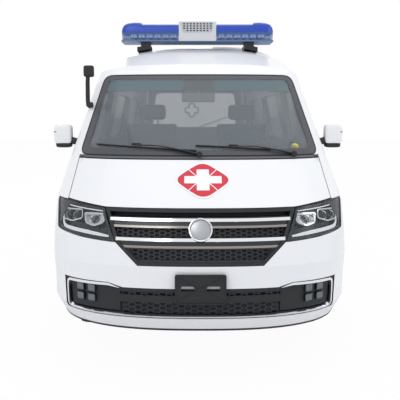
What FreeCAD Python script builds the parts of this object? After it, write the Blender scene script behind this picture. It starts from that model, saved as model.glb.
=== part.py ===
import FreeCAD
import Part
import Sketcher
import math
import os
import re

# Ambulance on a short-nosed panel van, in millimetres.
# X points to the vehicle's left, the front faces -Y and Z is up from the road.
# Places along the van are counted from the front bumper. The last step moves the
# whole van back by half its length, so that the origin lies under its middle.

SIZES = {
    # The whole van
    "overall_length": 4900,
    "body_width": 1810,
    "roof_height": 2130,
    "eaves_height": 1760,
    "header_height": 1800,
    "sill_height": 300,
    "nose_length": 1155,
    "corner_depth": 550,
    "tail_corner": 150,
    "tail_lean": 250,
    "tail_step": 100,
    "crown_width": 1510,
    "crown_lip": 2,
    # Walls and running gaps
    "wall": 55,
    "roof_wall": 32,
    "bumper_wall": 25,
    "bonnet_wall": 24,
    "pane": 8,
    "pane_inset": 14,
    "door_gap": 6,
    "seat_gap": 0.3,
    "overrun": 60,
    # Wheels
    "front_axle": 980,
    "wheelbase": 2800,
    "track": 1490,
    "tyre_radius": 335,
    "tyre_width": 195,
    "shoulder": 26,
    "rim_radius": 195,
    "rim_wall": 8,
    "rim_dish": 30,
    "rim_hole_circle": 128,
    "rim_hole_radius": 20,
    "bead_half": 82,
    "sidewall_swell": 45,
    "hub_radius": 62,
    "hub_length": 60,
    "spindle_radius": 25,
    "bearing_gap": 0.05,
    "arch_radius": 420,
    "rear_arch_radius": 385,
    "arch_wall": 8,
    "wheelhouse_inner": 440,
    # Openings in the body
    "door_front": 1085,
    "door_length": 915,
    "door_bottom": 420,
    "door_top": 1740,
    "slider_front": 2090,
    "slider_length": 1180,
    "belt_height": 1280,
    "window_top": 1690,
    "window_corner": 60,
    "door_corner": 45,
    "rear_window_start": 3400,
    "rear_window_length": 1080,
    "tailgate_bottom": 620,
    "tailgate_top": 1930,
    "tailgate_half": 735,
    "tailgate_top_half": 640,
    "tailgate_window_bottom": 1330,
    "tailgate_window_top": 1820,
    "tail_lamp_bottom": 850,
    "tail_lamp_top": 1350,
    "tail_lamp_width": 125,
    "tail_lamp_depth": 60,
    # Front view
    "bonnet_half": 780,
    "bonnet_top": 1215,
    "bonnet_front": 978,
    "screen_bottom": 1236,
    "screen_half": 785,
    "screen_top_half": 690,
    "screen_top": 1785,
    "lamp_end": 600,
    "lamp_depth": 110,
    "lamp_top": 1002,
    "lamp_bottom": 830,
    "lamp_dip": 806,
    "lamp_middle": 656,
    "lamp_low_half": 847,
    "lamp_high_half": 863,
    "grille_top": 975,
    "grille_top_half": 535,
    "grille_side_height": 793,
    "grille_side_half": 470,
    "grille_bottom": 674,
    "grille_bottom_half": 345,
    "grille_depth": 45,
    "grille_frame": 20,
    "bar_height": 22,
    "thin_bar_height": 9,
    "grille_recess": 10,
    "mesh_wall": 8,
    "top_bar_height": 906,
    "upper_thin_bar_height": 880,
    "lower_bar_height": 801,
    "lower_thin_bar_height": 769,
    "badge_height": 862,
    "badge_radius": 62,
    "intake_bar_height": 462,
    "intake_top": 563,
    "intake_step_half": 515,
    "intake_step_height": 567,
    "intake_middle_half": 433,
    "intake_middle_height": 544,
    "intake_bar_wall": 41,
    "intake_top_half": 790,
    "intake_bottom": 365,
    "intake_bottom_half": 783,
    "plate_width": 280,
    "plate_height": 165,
    "plate_bottom": 467,
    "plate_wall": 12,
    "plate_bolt_spacing": 180,
    "plate_bolt_radius": 3.5,
    "fog_size": 50,
    "fog_place": 690,
    "fog_height": 462,
    "fog_pitch": 71,
    "fog_rise": 59,
    "bonnet_hinge_inset": 20,
    "bonnet_hinge_place": 675,
    "bonnet_hinge_height": 1205,
    "bonnet_hinge_length": 24,
    "bonnet_web": 45,
    "rear_bumper_length": 520,
    "rear_bumper_wall": 50,
    "rear_bumper_depth": 150,
    "rear_bumper_height": 290,
    # Floor, rails and running gear
    "floor_bottom": 560,
    "floor_wall": 40,
    "bulkhead_place": 720,
    "bulkhead_wall": 16,
    "rail_half": 400,
    "rail_width": 60,
    "rail_height": 90,
    "rail_front": 260,
    "rail_rear": 4749.7,
    "crossmember_width": 60,
    "beam_height": 90,
    "beam_bottom": 480,
    "beam_depth": 55,
    "beam_half": 640,
    "kingpin_place": 680,
    "kingpin_radius": 14,
    "upper_arm_height": 455,
    "lower_arm_height": 215,
    "arm_wall": 26,
    "arm_tip_half": 26,
    "arm_root_half": 95,
    "strut_radius": 33,
    "strut_place": 530,
    "knuckle_width": 46,
    "knuckle_length": 70,
    "knuckle_play": 2,
    "axle_radius": 38,
    "differential_radius": 125,
    "differential_half": 95,
    "spring_half_length": 560,
    "spring_width": 60,
    "spring_wall": 12,
    "spring_place": 470,
    "damper_radius": 15,
    "shaft_radius": 32,
    "gearbox_front": 900,
    "gearbox_length": 520,
    "gearbox_width": 260,
    "gearbox_height": 230,
    "engine_length": 420,
    "engine_width": 520,
    "engine_height": 430,
    "engine_front": 290,
    "engine_bottom": 400,
    "tank_length": 820,
    "tank_width": 300,
    "tank_height": 200,
    "tank_front": 2150,
    "tank_corner": 40,
    "exhaust_radius": 27,
    "silencer_radius": 85,
    "silencer_length": 520,
    "silencer_front": 2250,
    "exhaust_place": 210,
    "exhaust_height": 400,
    "exhaust_end": 3300,
    "spare_radius": 315,
    "spare_width": 185,
    "tow_eye_radius": 14,
    "tow_eye_ring": 32,
    "tow_eye_wall": 20,
    "jack_pad_size": 70,
    "jack_pad_height": 40,
    # Cab
    "dash_depth": 400,
    "dash_height": 320,
    "dash_top": 1195,
    "dash_width": 1560,
    "wheel_place": 370,
    "wheel_along": 1290,
    "wheel_height": 1215,
    "wheel_radius": 190,
    "wheel_grip": 15,
    "wheel_hub_radius": 60,
    "wheel_hub_depth": 40,
    "wheel_spoke": 40,
    "column_length": 260,
    "column_radius": 30,
    "column_rake": 35,
    "seat_front": 1500,
    "seat_length": 500,
    "seat_width": 500,
    "seat_height": 960,
    "seat_thickness": 120,
    "seat_back_height": 620,
    "seat_back_wall": 120,
    "seat_place": 400,
    "seat_soft": 30,
    "seat_lean": 110,
    "headrest_width": 260,
    "headrest_height": 150,
    "headrest_wall": 80,
    "seat_base_inset": 60,
    "bench_front": 2500,
    "bench_length": 1500,
    "bench_width": 400,
    "bench_base_length": 860,
    "bench_clearance": 45,
    "bench_height": 420,
    "bench_back": 240,
    "bench_back_wall": 70,
    # On the outside
    "mirror_reach": 1050,
    "mirror_width": 165,
    "mirror_height": 175,
    "mirror_depth": 100,
    "mirror_bottom": 1255,
    "mirror_place": 1120,
    "mirror_soft": 28,
    "mirror_arm": 26,
    "stalk_radius": 16,
    "stalk_reach": 786,
    "stalk_lean": 12,
    "stalk_bottom": 1560,
    "stalk_height": 240,
    "stalk_place": 1040,
    "stalk_head_width": 72,
    "stalk_head_height": 85,
    "stalk_head_depth": 50,
    "bar_length": 1265,
    "bar_place": 1715,
    "bar_depth": 240,
    "bar_base_bottom": 2094,
    "bar_base_height": 22,
    "bar_lens_height": 149,
    "bar_speaker_width": 310,
    "bar_foot_place": 430,
    "bar_foot_width": 60,
    "bar_corner": 90,
    "wiper_radius": 5,
    "wiper_lift": 1.9,
    "wiper_pivot_radius": 10,
    "wiper_height": 1298,
    "wiper_pivot_height": 1241,
    "wiper_tip": 664,
    "wiper_clip": 381,
    "wiper_pivot": 22,
    "wiper_second_clip": 225,
    "wiper_second_pivot": 600,
    # Hinges
    "hinge_radius": 9,
    "hinge_pin_radius": 4,
    "hinge_length": 40,
    "hinge_ear": 12,
    "hinge_play": 2,
    "door_hinge_low": 800,
    "door_hinge_high": 980,
    "door_draft_share": 0.22,
    "door_inner": 700,
    "tailgate_hinge_place": 420,
}

# Waterlines of the body, from the skirt up. Shares: height of header_height, set-back of
# nose_length, half width of half the body's, corner sweep of corner_depth, lean of the
# tail of tail_lean, and how many wall thicknesses the sloping front takes along Y.
LEVEL_SHARES = [
    (0.150, 0.095, 0.956, 1.000, 0.00, 1.0),
    (0.222, 0.017, 0.994, 1.000, 0.00, 1.0),
    (0.306, 0.017, 0.998, 1.000, 0.00, 1.0),
    (0.372, 0.000, 1.000, 1.000, 0.00, 1.0),
    (0.444, 0.026, 1.000, 1.000, 0.00, 1.0),
    (0.544, 0.087, 0.995, 1.000, 0.00, 1.4),
    (0.611, 0.254, 0.983, 0.924, 0.00, 1.9),
    (0.686, 0.442, 0.968, 0.822, 0.04, 1.7),
    (1.000, 1.000, 0.829, 0.364, 0.28, 1.5),
    (1.250, 1.445, 0.717, 0.300, 0.48, 1.5),
]
# The roof's crown: place as a share of overall_length, rise as a share of roof over eaves.
CROWN_SHARES = [
    (0.2224, 0.012),
    (0.2653, 0.307),
    (0.3265, 0.639),
    (0.4082, 0.915),
    (0.4857, 1.000),
    (0.7350, 1.000),
    (0.9000, 0.960),
    (1.0000, 0.740),
]
NOSE_POWER = 2.5
CROWN_POWER = 3.2
CURVE_STEPS = 12
WIPER_STEPS = 8
QUARTER_TURN = 90

document = FreeCAD.newDocument("Ambulance")
sheet = document.addObject("Spreadsheet::Sheet", "Sizes")
for row, (alias, value) in enumerate(SIZES.items(), start=1):
    sheet.set(f"A{row}", alias)
    sheet.set(f"B{row}", str(value))
    sheet.setAlias(f"B{row}", alias)
document.recompute()

nodes = []


class SheetSizes:
    """Reads a size from the sheet by its alias."""

    def __getattr__(self, alias):
        return float(sheet.get(alias))


size = SheetSizes()
Vector = FreeCAD.Vector


def bind(thing, prop, formula):
    """Ties a property to a formula written in the sheet's aliases."""
    thing.setExpression(prop, re.sub(r"\b([a-z][a-z0-9_]*)\b(?!\s*\()", r"Sizes.\1", formula))


def place(thing, x="0", y="0", z="0"):
    """Puts a sub-part at x, y, z, with y counted from the front bumper."""
    bind(thing, "Placement.Base.x", x)
    bind(thing, "Placement.Base.y", f"({y}) - overall_length / 2")
    bind(thing, "Placement.Base.z", z)


def node(thing, label, x="0", y="0", z="0"):
    thing.Label = label
    place(thing, x, y, z)
    nodes.append(thing)
    return thing


def shaped(label, shape):
    """A sub-part made of sheet or glass that follows the body's own curved skin."""
    thing = document.addObject("Part::Feature", label)
    thing.Shape = shape
    return node(thing, label)


# Outlines and prisms

def rounded(points, radius):
    """Closed wire through flat points given as vectors, each corner turned by an arc."""
    edges = []
    starts = []
    ends = []
    middles = []
    count = len(points)
    for index, corner in enumerate(points):
        before = (points[index - 1] - corner)
        after = (points[(index + 1) % count] - corner)
        half_turn = before.getAngle(after) / 2
        reach = min(radius / math.tan(half_turn), 0.45 * before.Length, 0.45 * after.Length)
        real_radius = reach * math.tan(half_turn)
        toward = (before.normalize() + after.normalize()).normalize()
        starts.append(corner + before * reach)
        ends.append(corner + after * reach)
        middles.append(corner + toward * (real_radius / math.sin(half_turn) - real_radius))
    for index in range(count):
        edges.append(Part.Arc(starts[index], middles[index], ends[index]).toShape())
        edges.append(Part.LineSegment(ends[index], starts[(index + 1) % count]).toShape())
    return Part.Wire(edges)


def closed(points):
    return Part.makePolygon(points + [points[0]])


def grown(wire, distance):
    return wire.makeOffset2D(distance) if distance else wire


def front_outline(points, radius=0):
    """Wire in the front view, from (x, z) points, for both sides of the middle."""
    spots = [Vector(x, 0, z) for x, z in points]
    return rounded(spots, radius) if radius else closed(spots)


def side_outline(points, radius=0):
    """Wire in the side view, from (y, z) points."""
    spots = [Vector(0, y, z) for y, z in points]
    return rounded(spots, radius) if radius else closed(spots)


def through_front(wire, start, end):
    face = Part.Face(wire)
    face.translate(Vector(0, start, 0))
    return face.extrude(Vector(0, end - start, 0))


def through_side(wire, start, end, draft=0, pivot=0):
    face = Part.Face(wire)
    face.translate(Vector(start, draft * (start - pivot), 0))
    return face.extrude(Vector(end - start, draft * (end - start), 0))


def block(x0, x1, y0, y1, z0, z1):
    return Part.makeBox(x1 - x0, y1 - y0, z1 - z0, Vector(x0, y0, z0))


def mirrored(shape):
    return shape.mirror(Vector(0, 0, 0), Vector(1, 0, 0))


def both(shape):
    return Part.makeCompound([shape, mirrored(shape)])


def joined(first, *others):
    return first.multiFuse(list(others))


def less(shape, *tools):
    return shape.cut(list(tools))


def rod(start, end, radius):
    along = end - start
    return Part.makeCylinder(radius, along.Length, start, along)


# The skin of the body

def nose_curve(half, front, depth, z):
    """Swept-back front of a waterline, from the right-hand side to the left."""
    points = []
    for step in range(CURVE_STEPS + 1):
        angle = math.pi * (step / CURVE_STEPS - 0.5)
        x = half * math.copysign(abs(math.sin(angle)) ** (2 / NOSE_POWER), math.sin(angle))
        back = depth * (1 - abs(math.cos(angle)) ** (2 / NOSE_POWER))
        points.append(Vector(x, front + back, z))
    curve = Part.BSplineCurve()
    curve.interpolate(Points=points)
    return curve.toShape(), points[0], points[-1]


def waterline(shares, inset):
    height, setback, width, sweep, lean, slope = shares
    z = height * size.header_height
    half = width * size.body_width / 2 - inset
    front = setback * size.nose_length + slope * inset
    rear = size.overall_length - size.tail_step - lean * size.tail_lean - inset
    radius = size.tail_corner - inset
    nose, right, left = nose_curve(half, front, sweep * size.corner_depth, z)
    diagonal = radius * (1 - math.sqrt(0.5))
    corners = []
    for side in (1, -1):
        turn = [
            Vector(side * half, rear - radius, z),
            Vector(side * (half - diagonal), rear - diagonal, z),
            Vector(side * (half - radius), rear, z),
        ]
        corners.append(turn[::side])
    return Part.Wire([
        nose,
        Part.LineSegment(left, corners[0][0]).toShape(),
        Part.Arc(*corners[0]).toShape(),
        Part.LineSegment(corners[0][2], corners[1][0]).toShape(),
        Part.Arc(*corners[1]).toShape(),
        Part.LineSegment(corners[1][2], right).toShape(),
    ])


def shares_at(height_share):
    """Shares of a waterline between two of the table's rows."""
    for low, high in zip(LEVEL_SHARES, LEVEL_SHARES[1:]):
        if low[0] <= height_share <= high[0]:
            along = (height_share - low[0]) / (high[0] - low[0])
            return tuple(a + (b - a) * along for a, b in zip(low, high))
    return LEVEL_SHARES[-1]


def hull(inset=0):
    """The body's skin as a solid, moved inwards by inset, open country above the eaves."""
    return Part.makeLoft([waterline(shares, inset) for shares in LEVEL_SHARES], True, True)


def sky(inset=0):
    """All that lies over the crowned roof, above the eaves."""
    half = size.crown_width / 2 - inset
    far = size.body_width
    top = LEVEL_SHARES[-1][0] * size.header_height + size.overrun
    sections = []
    for place_share, rise_share in CROWN_SHARES:
        y = place_share * size.overall_length
        full_rise = rise_share * (size.roof_height - size.eaves_height)
        rise = max(full_rise - inset, size.crown_lip)
        points = []
        for step in range(CURVE_STEPS + 1):
            angle = math.pi * step / CURVE_STEPS
            x = -half * math.copysign(abs(math.cos(angle)) ** (2 / CROWN_POWER), math.cos(angle))
            z = size.eaves_height + rise * math.sin(angle) ** (2 / CROWN_POWER)
            points.append(Vector(x, y, z))
        crown = Part.BSplineCurve()
        crown.interpolate(Points=points)
        corners = [
            points[-1],
            Vector(far, y, size.eaves_height),
            Vector(far, y, top),
            Vector(-far, y, top),
            Vector(-far, y, size.eaves_height),
            points[0],
        ]
        edges = [crown.toShape()]
        edges += [Part.LineSegment(a, b).toShape() for a, b in zip(corners, corners[1:])]
        sections.append(Part.Wire(edges))
    return Part.makeLoft(sections, True, True)


half_width = size.body_width / 2
tail_face = size.overall_length - size.tail_step
rear_axle = size.front_axle + size.wheelbase
bumper_end = size.front_axle - size.arch_radius - size.seat_gap

outer = hull()
wall_inner = hull(size.wall)
whole_outer = less(outer, sky())
whole_inner = less(wall_inner, sky(size.roof_wall))
shell = less(whole_outer, whole_inner)

# Outlines of the openings, each used by the panel, its hole and its glass

bonnet_wire = front_outline([
    (-size.bonnet_half, size.lamp_top - size.seat_gap),
    (-size.grille_top_half, size.bonnet_front),
    (size.grille_top_half, size.bonnet_front),
    (size.bonnet_half, size.lamp_top - size.seat_gap),
    (size.bonnet_half, size.bonnet_top),
    (-size.bonnet_half, size.bonnet_top),
])
screen_wire = front_outline([
    (-size.screen_half, size.screen_bottom),
    (size.screen_half, size.screen_bottom),
    (size.screen_top_half, size.screen_top),
    (-size.screen_top_half, size.screen_top),
], size.window_corner)
grille_wire = front_outline([
    (-size.grille_bottom_half, size.grille_bottom),
    (size.grille_bottom_half, size.grille_bottom),
    (size.grille_side_half, size.grille_side_height),
    (size.grille_top_half, size.grille_top),
    (-size.grille_top_half, size.grille_top),
    (-size.grille_side_half, size.grille_side_height),
])
lamp_wire = front_outline([
    (size.grille_side_half + size.seat_gap, size.grille_side_height + size.seat_gap),
    (size.lamp_middle, size.lamp_dip),
    (size.lamp_low_half, size.lamp_bottom),
    (size.lamp_high_half, size.lamp_top - size.door_gap),
    (size.bonnet_half, size.lamp_top - size.door_gap),
    (size.grille_top_half + size.seat_gap, size.bonnet_front - size.door_gap),
])
intake_wire = front_outline([
    (-size.intake_bottom_half, size.intake_bottom),
    (size.intake_bottom_half, size.intake_bottom),
    (size.intake_top_half, size.intake_top),
    (size.intake_step_half, size.intake_step_height),
    (size.intake_middle_half, size.intake_middle_height),
    (-size.intake_middle_half, size.intake_middle_height),
    (-size.intake_step_half, size.intake_step_height),
    (-size.intake_top_half, size.intake_top),
])
door_rear = size.door_front + size.door_length
pillar_lean = (size.door_top - size.belt_height) / 2
door_wire = side_outline([
    (size.door_front, size.door_bottom),
    (door_rear, size.door_bottom),
    (door_rear, size.door_top),
    (size.door_front + pillar_lean, size.door_top),
    (size.door_front, size.door_top - pillar_lean),
], size.door_corner)
frame_width = size.door_top - size.window_top
door_window_wire = side_outline([
    (size.door_front + frame_width, size.belt_height),
    (door_rear - frame_width, size.belt_height),
    (door_rear - frame_width, size.window_top),
    (size.door_front + frame_width + pillar_lean, size.window_top),
    (size.door_front + frame_width, size.window_top - pillar_lean),
], size.window_corner)
slider_rear = size.slider_front + size.slider_length
slider_wire = side_outline([
    (size.slider_front, size.door_bottom),
    (slider_rear, size.door_bottom),
    (slider_rear, size.door_top),
    (size.slider_front, size.door_top),
], size.door_corner)
slider_window_wire = side_outline([
    (size.slider_front + 2 * frame_width, size.belt_height),
    (slider_rear - 2 * frame_width, size.belt_height),
    (slider_rear - 2 * frame_width, size.window_top),
    (size.slider_front + 2 * frame_width, size.window_top),
], size.window_corner)
rear_window_rear = size.rear_window_start + size.rear_window_length
rear_window_wire = side_outline([
    (size.rear_window_start, size.belt_height),
    (rear_window_rear, size.belt_height),
    (rear_window_rear - frame_width, size.window_top),
    (size.rear_window_start, size.window_top),
], size.window_corner)
tailgate_wire = front_outline([
    (-size.tailgate_half, size.tailgate_bottom),
    (size.tailgate_half, size.tailgate_bottom),
    (size.tailgate_half, size.tail_lamp_bottom),
    (size.tailgate_top_half, size.tailgate_top),
    (-size.tailgate_top_half, size.tailgate_top),
    (-size.tailgate_half, size.tail_lamp_bottom),
], size.door_corner)
tail_window_half = size.tailgate_top_half - frame_width / 2
tailgate_window_wire = front_outline([
    (-tail_window_half, size.tailgate_window_bottom),
    (tail_window_half, size.tailgate_window_bottom),
    (tail_window_half - frame_width, size.tailgate_window_top),
    (frame_width - tail_window_half, size.tailgate_window_top),
], size.window_corner)

nose_end = size.nose_length + size.corner_depth
tail_start = tail_face - size.tail_lean - size.overrun


def nose_prism(wire, offset=0):
    return through_front(grown(wire, offset), -size.overrun, nose_end)


def tail_prism(wire, offset=0):
    return through_front(grown(wire, offset), tail_start, tail_face + size.overrun)


def left_prism(wire, offset=0, draft=0):
    start = size.door_inner - 3 * offset if draft else 0
    return through_side(grown(wire, offset), start, half_width + size.overrun, draft, half_width)


def arch(radius, axle, start=0):
    """The round space of a wheel, from start out through the side."""
    reach = half_width + size.overrun - start
    return Part.makeCylinder(radius, reach, Vector(start, axle, size.tyre_radius), Vector(1, 0, 0))


def hinge(centre, direction, length):
    """A lug with its bore, the pin through it, and the room that both need."""
    half = length / 2
    lug_end = direction * half
    pin_end = direction * (half + size.hinge_ear)
    play_end = direction * (half + size.hinge_play)
    room_end = pin_end + direction * size.hinge_play
    return {
        "lug": rod(centre - lug_end, centre + lug_end, size.hinge_radius),
        "bore": rod(centre - pin_end, centre + pin_end, size.hinge_pin_radius + size.bearing_gap),
        "pin": rod(centre - pin_end, centre + pin_end, size.hinge_pin_radius),
        "lug_room": rod(centre - play_end, centre + play_end, size.hinge_radius + size.hinge_play),
        "pin_room": rod(centre - room_end, centre + room_end, size.hinge_pin_radius + size.hinge_play),
    }


UP = Vector(0, 0, 1)
ACROSS = Vector(1, 0, 0)
door_axis = Vector(half_width - size.hinge_radius / 3, size.door_front - size.door_gap / 2, 0)
door_hinges = [hinge(door_axis + UP * height, UP, size.hinge_length)
               for height in (size.door_hinge_low, size.door_hinge_high)]

front_arch = arch(size.arch_radius, size.front_axle, size.wheelhouse_inner)
rear_arch = arch(size.rear_arch_radius, rear_axle, size.wheelhouse_inner)

# Sides: what is left of the shell round every opening on that side

tail_lamp_room = block(
    half_width - size.tail_lamp_width - size.door_gap, half_width + size.overrun,
    tail_face - size.tail_lamp_width, tail_face + size.overrun,
    size.tail_lamp_bottom, size.tail_lamp_top)
bumper_room = block(
    0, half_width + size.overrun, -size.overrun, bumper_end + size.seat_gap, 0, size.lamp_bottom)
skirt_room = block(
    0, half_width + size.overrun, 0, bumper_end + size.door_gap, 0, size.tyre_radius)
bonnet_room = block(
    0, size.bonnet_half + size.door_gap, -size.overrun, nose_end, 0, size.screen_bottom)
rear_bumper_front = rear_axle + size.rear_arch_radius + size.overrun
rear_bumper_room = block(
    0, half_width + size.overrun, rear_bumper_front - size.seat_gap, size.overall_length,
    0, size.tailgate_bottom)
lower_shell = less(outer, wall_inner).common(block(
    0, half_width + size.overrun, -size.overrun, size.overall_length,
    size.sill_height, size.eaves_height))


def side_panel(windows):
    side = less(
        less(lower_shell, through_front(lamp_wire, -size.overrun, size.lamp_end)),
        bumper_room, skirt_room, bonnet_room, rear_bumper_room, tail_lamp_room,
        nose_prism(screen_wire, size.seat_gap), tail_prism(tailgate_wire, size.door_gap),
        left_prism(door_wire, size.door_gap, size.door_draft_share), front_arch, rear_arch,
        *[left_prism(wire) for wire in windows])
    for parts in door_hinges:
        side = less(side, parts["lug_room"])
        side = side.fuse(parts["pin"])
    return side


side_left = side_panel([slider_window_wire, rear_window_wire])
side_right = side_panel([rear_window_wire])
side_right = less(side_right, left_prism(slider_wire, size.seat_gap))
shaped("side_left", side_left)
shaped("side_right", mirrored(side_right))

slider = less(lower_shell.common(left_prism(slider_wire)), left_prism(slider_window_wire))
shaped("sliding_door", mirrored(slider))

# Front doors, each with its hinge lugs

door = less(lower_shell.common(left_prism(door_wire, 0, size.door_draft_share)),
            left_prism(door_window_wire, 0, size.door_draft_share),
            arch(size.arch_radius, size.front_axle))
for parts in door_hinges:
    door = less(door, parts["pin_room"])
    door = less(door.fuse(parts["lug"]), parts["bore"])
shaped("door_left", door)
shaped("door_right", mirrored(door))

# Glass that lies just inside the skin

pane_layer = less(hull(size.pane_inset), hull(size.pane_inset + size.pane))


def side_pane(wire, draft=0):
    return pane_layer.common(left_prism(wire, -size.seat_gap, draft))


door_pane = side_pane(door_window_wire, size.door_draft_share)
shaped("door_glass_left", door_pane)
shaped("door_glass_right", mirrored(door_pane))
slider_pane = side_pane(slider_window_wire)
rear_pane = side_pane(rear_window_wire)
shaped("side_glass", Part.makeCompound(
    [slider_pane, rear_pane, mirrored(slider_pane), mirrored(rear_pane)]))
screen_back = outer.copy()
screen_back.translate(Vector(0, size.pane, -size.pane))
screen = less(outer.common(nose_prism(screen_wire)), screen_back)
shaped("windscreen", screen)

# Roof, tailgate

roof_box = block(-half_width, half_width, 0, size.overall_length, size.eaves_height,
                 size.roof_height + size.overrun)
tailgate_room = tail_prism(tailgate_wire, size.door_gap)
roof = less(shell.common(roof_box), nose_prism(screen_wire, size.seat_gap), tailgate_room)
tailgate = less(shell.common(tail_prism(tailgate_wire)), tail_prism(tailgate_window_wire))
tail_lean_share = shares_at(size.tailgate_top / size.header_height)[4]
tailgate_axis = Vector(
    size.tailgate_hinge_place, tail_face - tail_lean_share * size.tail_lean - size.hinge_radius / 3,
    size.tailgate_top + size.door_gap / 2)
for side in (1, -1):
    parts = hinge(Vector(side * tailgate_axis.x, tailgate_axis.y, tailgate_axis.z), ACROSS,
                  size.hinge_length)
    roof = less(roof, parts["lug_room"]).fuse(parts["pin"])
    tailgate = less(tailgate, parts["pin_room"])
    tailgate = less(tailgate.fuse(parts["lug"]), parts["bore"])
shaped("roof", roof)
shaped("tailgate", tailgate)
tail_pane = less(hull(size.pane_inset), hull(size.pane_inset + size.pane)).common(
    tail_prism(tailgate_window_wire, -size.seat_gap))
shaped("tailgate_glass", tail_pane)

# Bonnet, cowl, grille, lamps and bumper

cowl_shares = shares_at(size.bonnet_top / size.header_height)


def behind_cowl_line(inset):
    """Everything behind the bonnet's rear edge, as an upright block."""
    return Part.Face(waterline(cowl_shares, inset)).extrude(Vector(0, 0, 2 * size.overrun))


bonnet_top_outline = nose_prism(bonnet_wire)
behind_bonnet = behind_cowl_line(0)
behind_bonnet.translate(Vector(0, 0, -size.overrun))
bonnet_back = outer.copy()
bonnet_back.translate(Vector(0, size.bonnet_wall / 2, -size.bonnet_wall))
bonnet = less(outer.common(bonnet_top_outline), bonnet_back, behind_bonnet)
bonnet_axis = Vector(size.bonnet_half - size.bonnet_hinge_inset, size.bonnet_hinge_place,
                     size.bonnet_hinge_height)
bonnet_hinges = []
for side in (1, -1):
    centre = Vector(side * bonnet_axis.x, bonnet_axis.y, bonnet_axis.z)
    bonnet_hinges.append(hinge(centre, ACROSS, size.bonnet_hinge_length))
    web = block(bonnet_axis.x - size.bonnet_hinge_length / 2, bonnet_axis.x + size.bonnet_hinge_length / 2,
                bonnet_axis.y - size.bonnet_web, bonnet_axis.y,
                bonnet_axis.z - size.hinge_radius, bonnet_axis.z + size.hinge_radius)
    bonnet = bonnet.fuse(web if side > 0 else mirrored(web))
    bonnet = less(bonnet.fuse(bonnet_hinges[-1]["lug"]), bonnet_hinges[-1]["bore"])
shaped("bonnet", bonnet)

lamp_box = block(0, half_width + size.overrun, -size.overrun, size.lamp_end, 0, size.lamp_top)
lamp = less(outer.common(nose_prism(lamp_wire, -size.seat_gap)), hull(size.lamp_depth)).common(lamp_box)
shaped("headlamps", both(lamp))

bumper_box = block(-half_width, half_width, -size.overrun, bumper_end, 0, size.lamp_top)
bumper_inner = hull(size.bumper_wall)
bumper_top = front_outline([
    (-half_width - size.overrun, 0),
    (half_width + size.overrun, 0),
    (half_width + size.overrun, size.lamp_bottom - size.seat_gap),
    (size.lamp_low_half, size.lamp_bottom - size.seat_gap),
    (size.lamp_middle, size.lamp_dip - size.seat_gap),
    (size.grille_side_half, size.grille_side_height - size.seat_gap),
    (size.grille_bottom_half, size.grille_bottom - size.seat_gap),
    (-size.grille_bottom_half, size.grille_bottom - size.seat_gap),
    (-size.grille_side_half, size.grille_side_height - size.seat_gap),
    (-size.lamp_middle, size.lamp_dip - size.seat_gap),
    (-size.lamp_low_half, size.lamp_bottom - size.seat_gap),
    (-half_width - size.overrun, size.lamp_bottom - size.seat_gap),
])
bumper = less(outer.common(nose_prism(bumper_top)).common(bumper_box), bumper_inner,
              nose_prism(intake_wire))
shaped("front_bumper", bumper)

grille_front = hull(size.grille_recess)
grille_back = hull(size.grille_depth)
grille_layer = less(outer, grille_back)


def band(bottom, height, inset):
    """A bar of the grille, from side to side, standing back from the skin by inset."""
    strip = block(-half_width, half_width, -size.overrun, nose_end, bottom, bottom + height)
    return less(hull(inset), grille_back).common(strip).common(nose_prism(grille_wire, -size.seat_gap))


grille_frame = less(grille_layer.common(nose_prism(grille_wire, -size.seat_gap)),
                    nose_prism(grille_wire, -size.grille_frame))
backing = less(hull(size.grille_depth - size.mesh_wall), grille_back)
grille_plate = backing.common(nose_prism(grille_wire, -size.seat_gap))
bars = [band(size.top_bar_height, size.bar_height, size.grille_recess),
        band(size.upper_thin_bar_height, size.thin_bar_height, size.grille_recess),
        band(size.lower_bar_height, size.bar_height, size.grille_recess),
        band(size.lower_thin_bar_height, size.thin_bar_height, size.grille_recess)]
badge = rod(Vector(0, 0, size.badge_height), Vector(0, size.nose_length, size.badge_height),
            size.badge_radius).common(less(outer, grille_back))
shaped("grille", joined(grille_frame, grille_plate, badge, *bars))

intake_back = hull(size.bumper_wall + size.mesh_wall)
intake_plate = less(hull(size.bumper_wall), intake_back).common(
    nose_prism(intake_wire, size.grille_frame))
intake_bar_box = block(-size.intake_middle_half, size.intake_middle_half, -size.overrun, nose_end,
                       size.intake_bar_height, size.intake_bar_height + size.intake_bar_wall)
intake_bar = less(hull(size.grille_recess).common(intake_bar_box), intake_back)
shaped("lower_grille", joined(intake_plate, intake_bar).common(bumper_box))

fogs = []
for column in range(2):
    for line in range(2):
        x = size.fog_place - column * size.fog_pitch
        z = size.fog_height + line * size.fog_rise
        square = block(x - size.fog_size / 2, x + size.fog_size / 2, -size.overrun, nose_end,
                       z - size.fog_size / 2, z + size.fog_size / 2)
        fogs.append(less(hull(size.grille_recess / 2), hull(size.bumper_wall)).common(square))
fog_set = fogs[0].multiFuse(fogs[1:])
shaped("fog_lamps", both(fog_set))

plate_centre = size.plate_bottom + size.plate_height / 2
plate = block(-size.plate_width / 2, size.plate_width / 2, -size.plate_wall - size.seat_gap,
              size.bumper_wall, size.plate_bottom, size.plate_bottom + size.plate_height)
plate = less(plate, hull(-size.seat_gap))
for side in (1, -1):
    spot = Vector(side * size.plate_bolt_spacing / 2, -size.overrun, plate_centre)
    plate = less(plate, rod(spot, spot + Vector(0, 2 * size.overrun, 0), size.plate_bolt_radius))
shaped("plate_bracket", plate)

tail_lamp = less(outer, hull(size.tail_lamp_depth)).common(block(
    half_width - size.tail_lamp_width, half_width + size.overrun,
    tail_face - size.tail_lamp_width + size.seat_gap, tail_face + size.overrun,
    size.tail_lamp_bottom + size.seat_gap, size.tail_lamp_top - size.seat_gap))
shaped("tail_lamps", both(tail_lamp))

# Floor, wheelhouses and bulkhead

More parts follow.
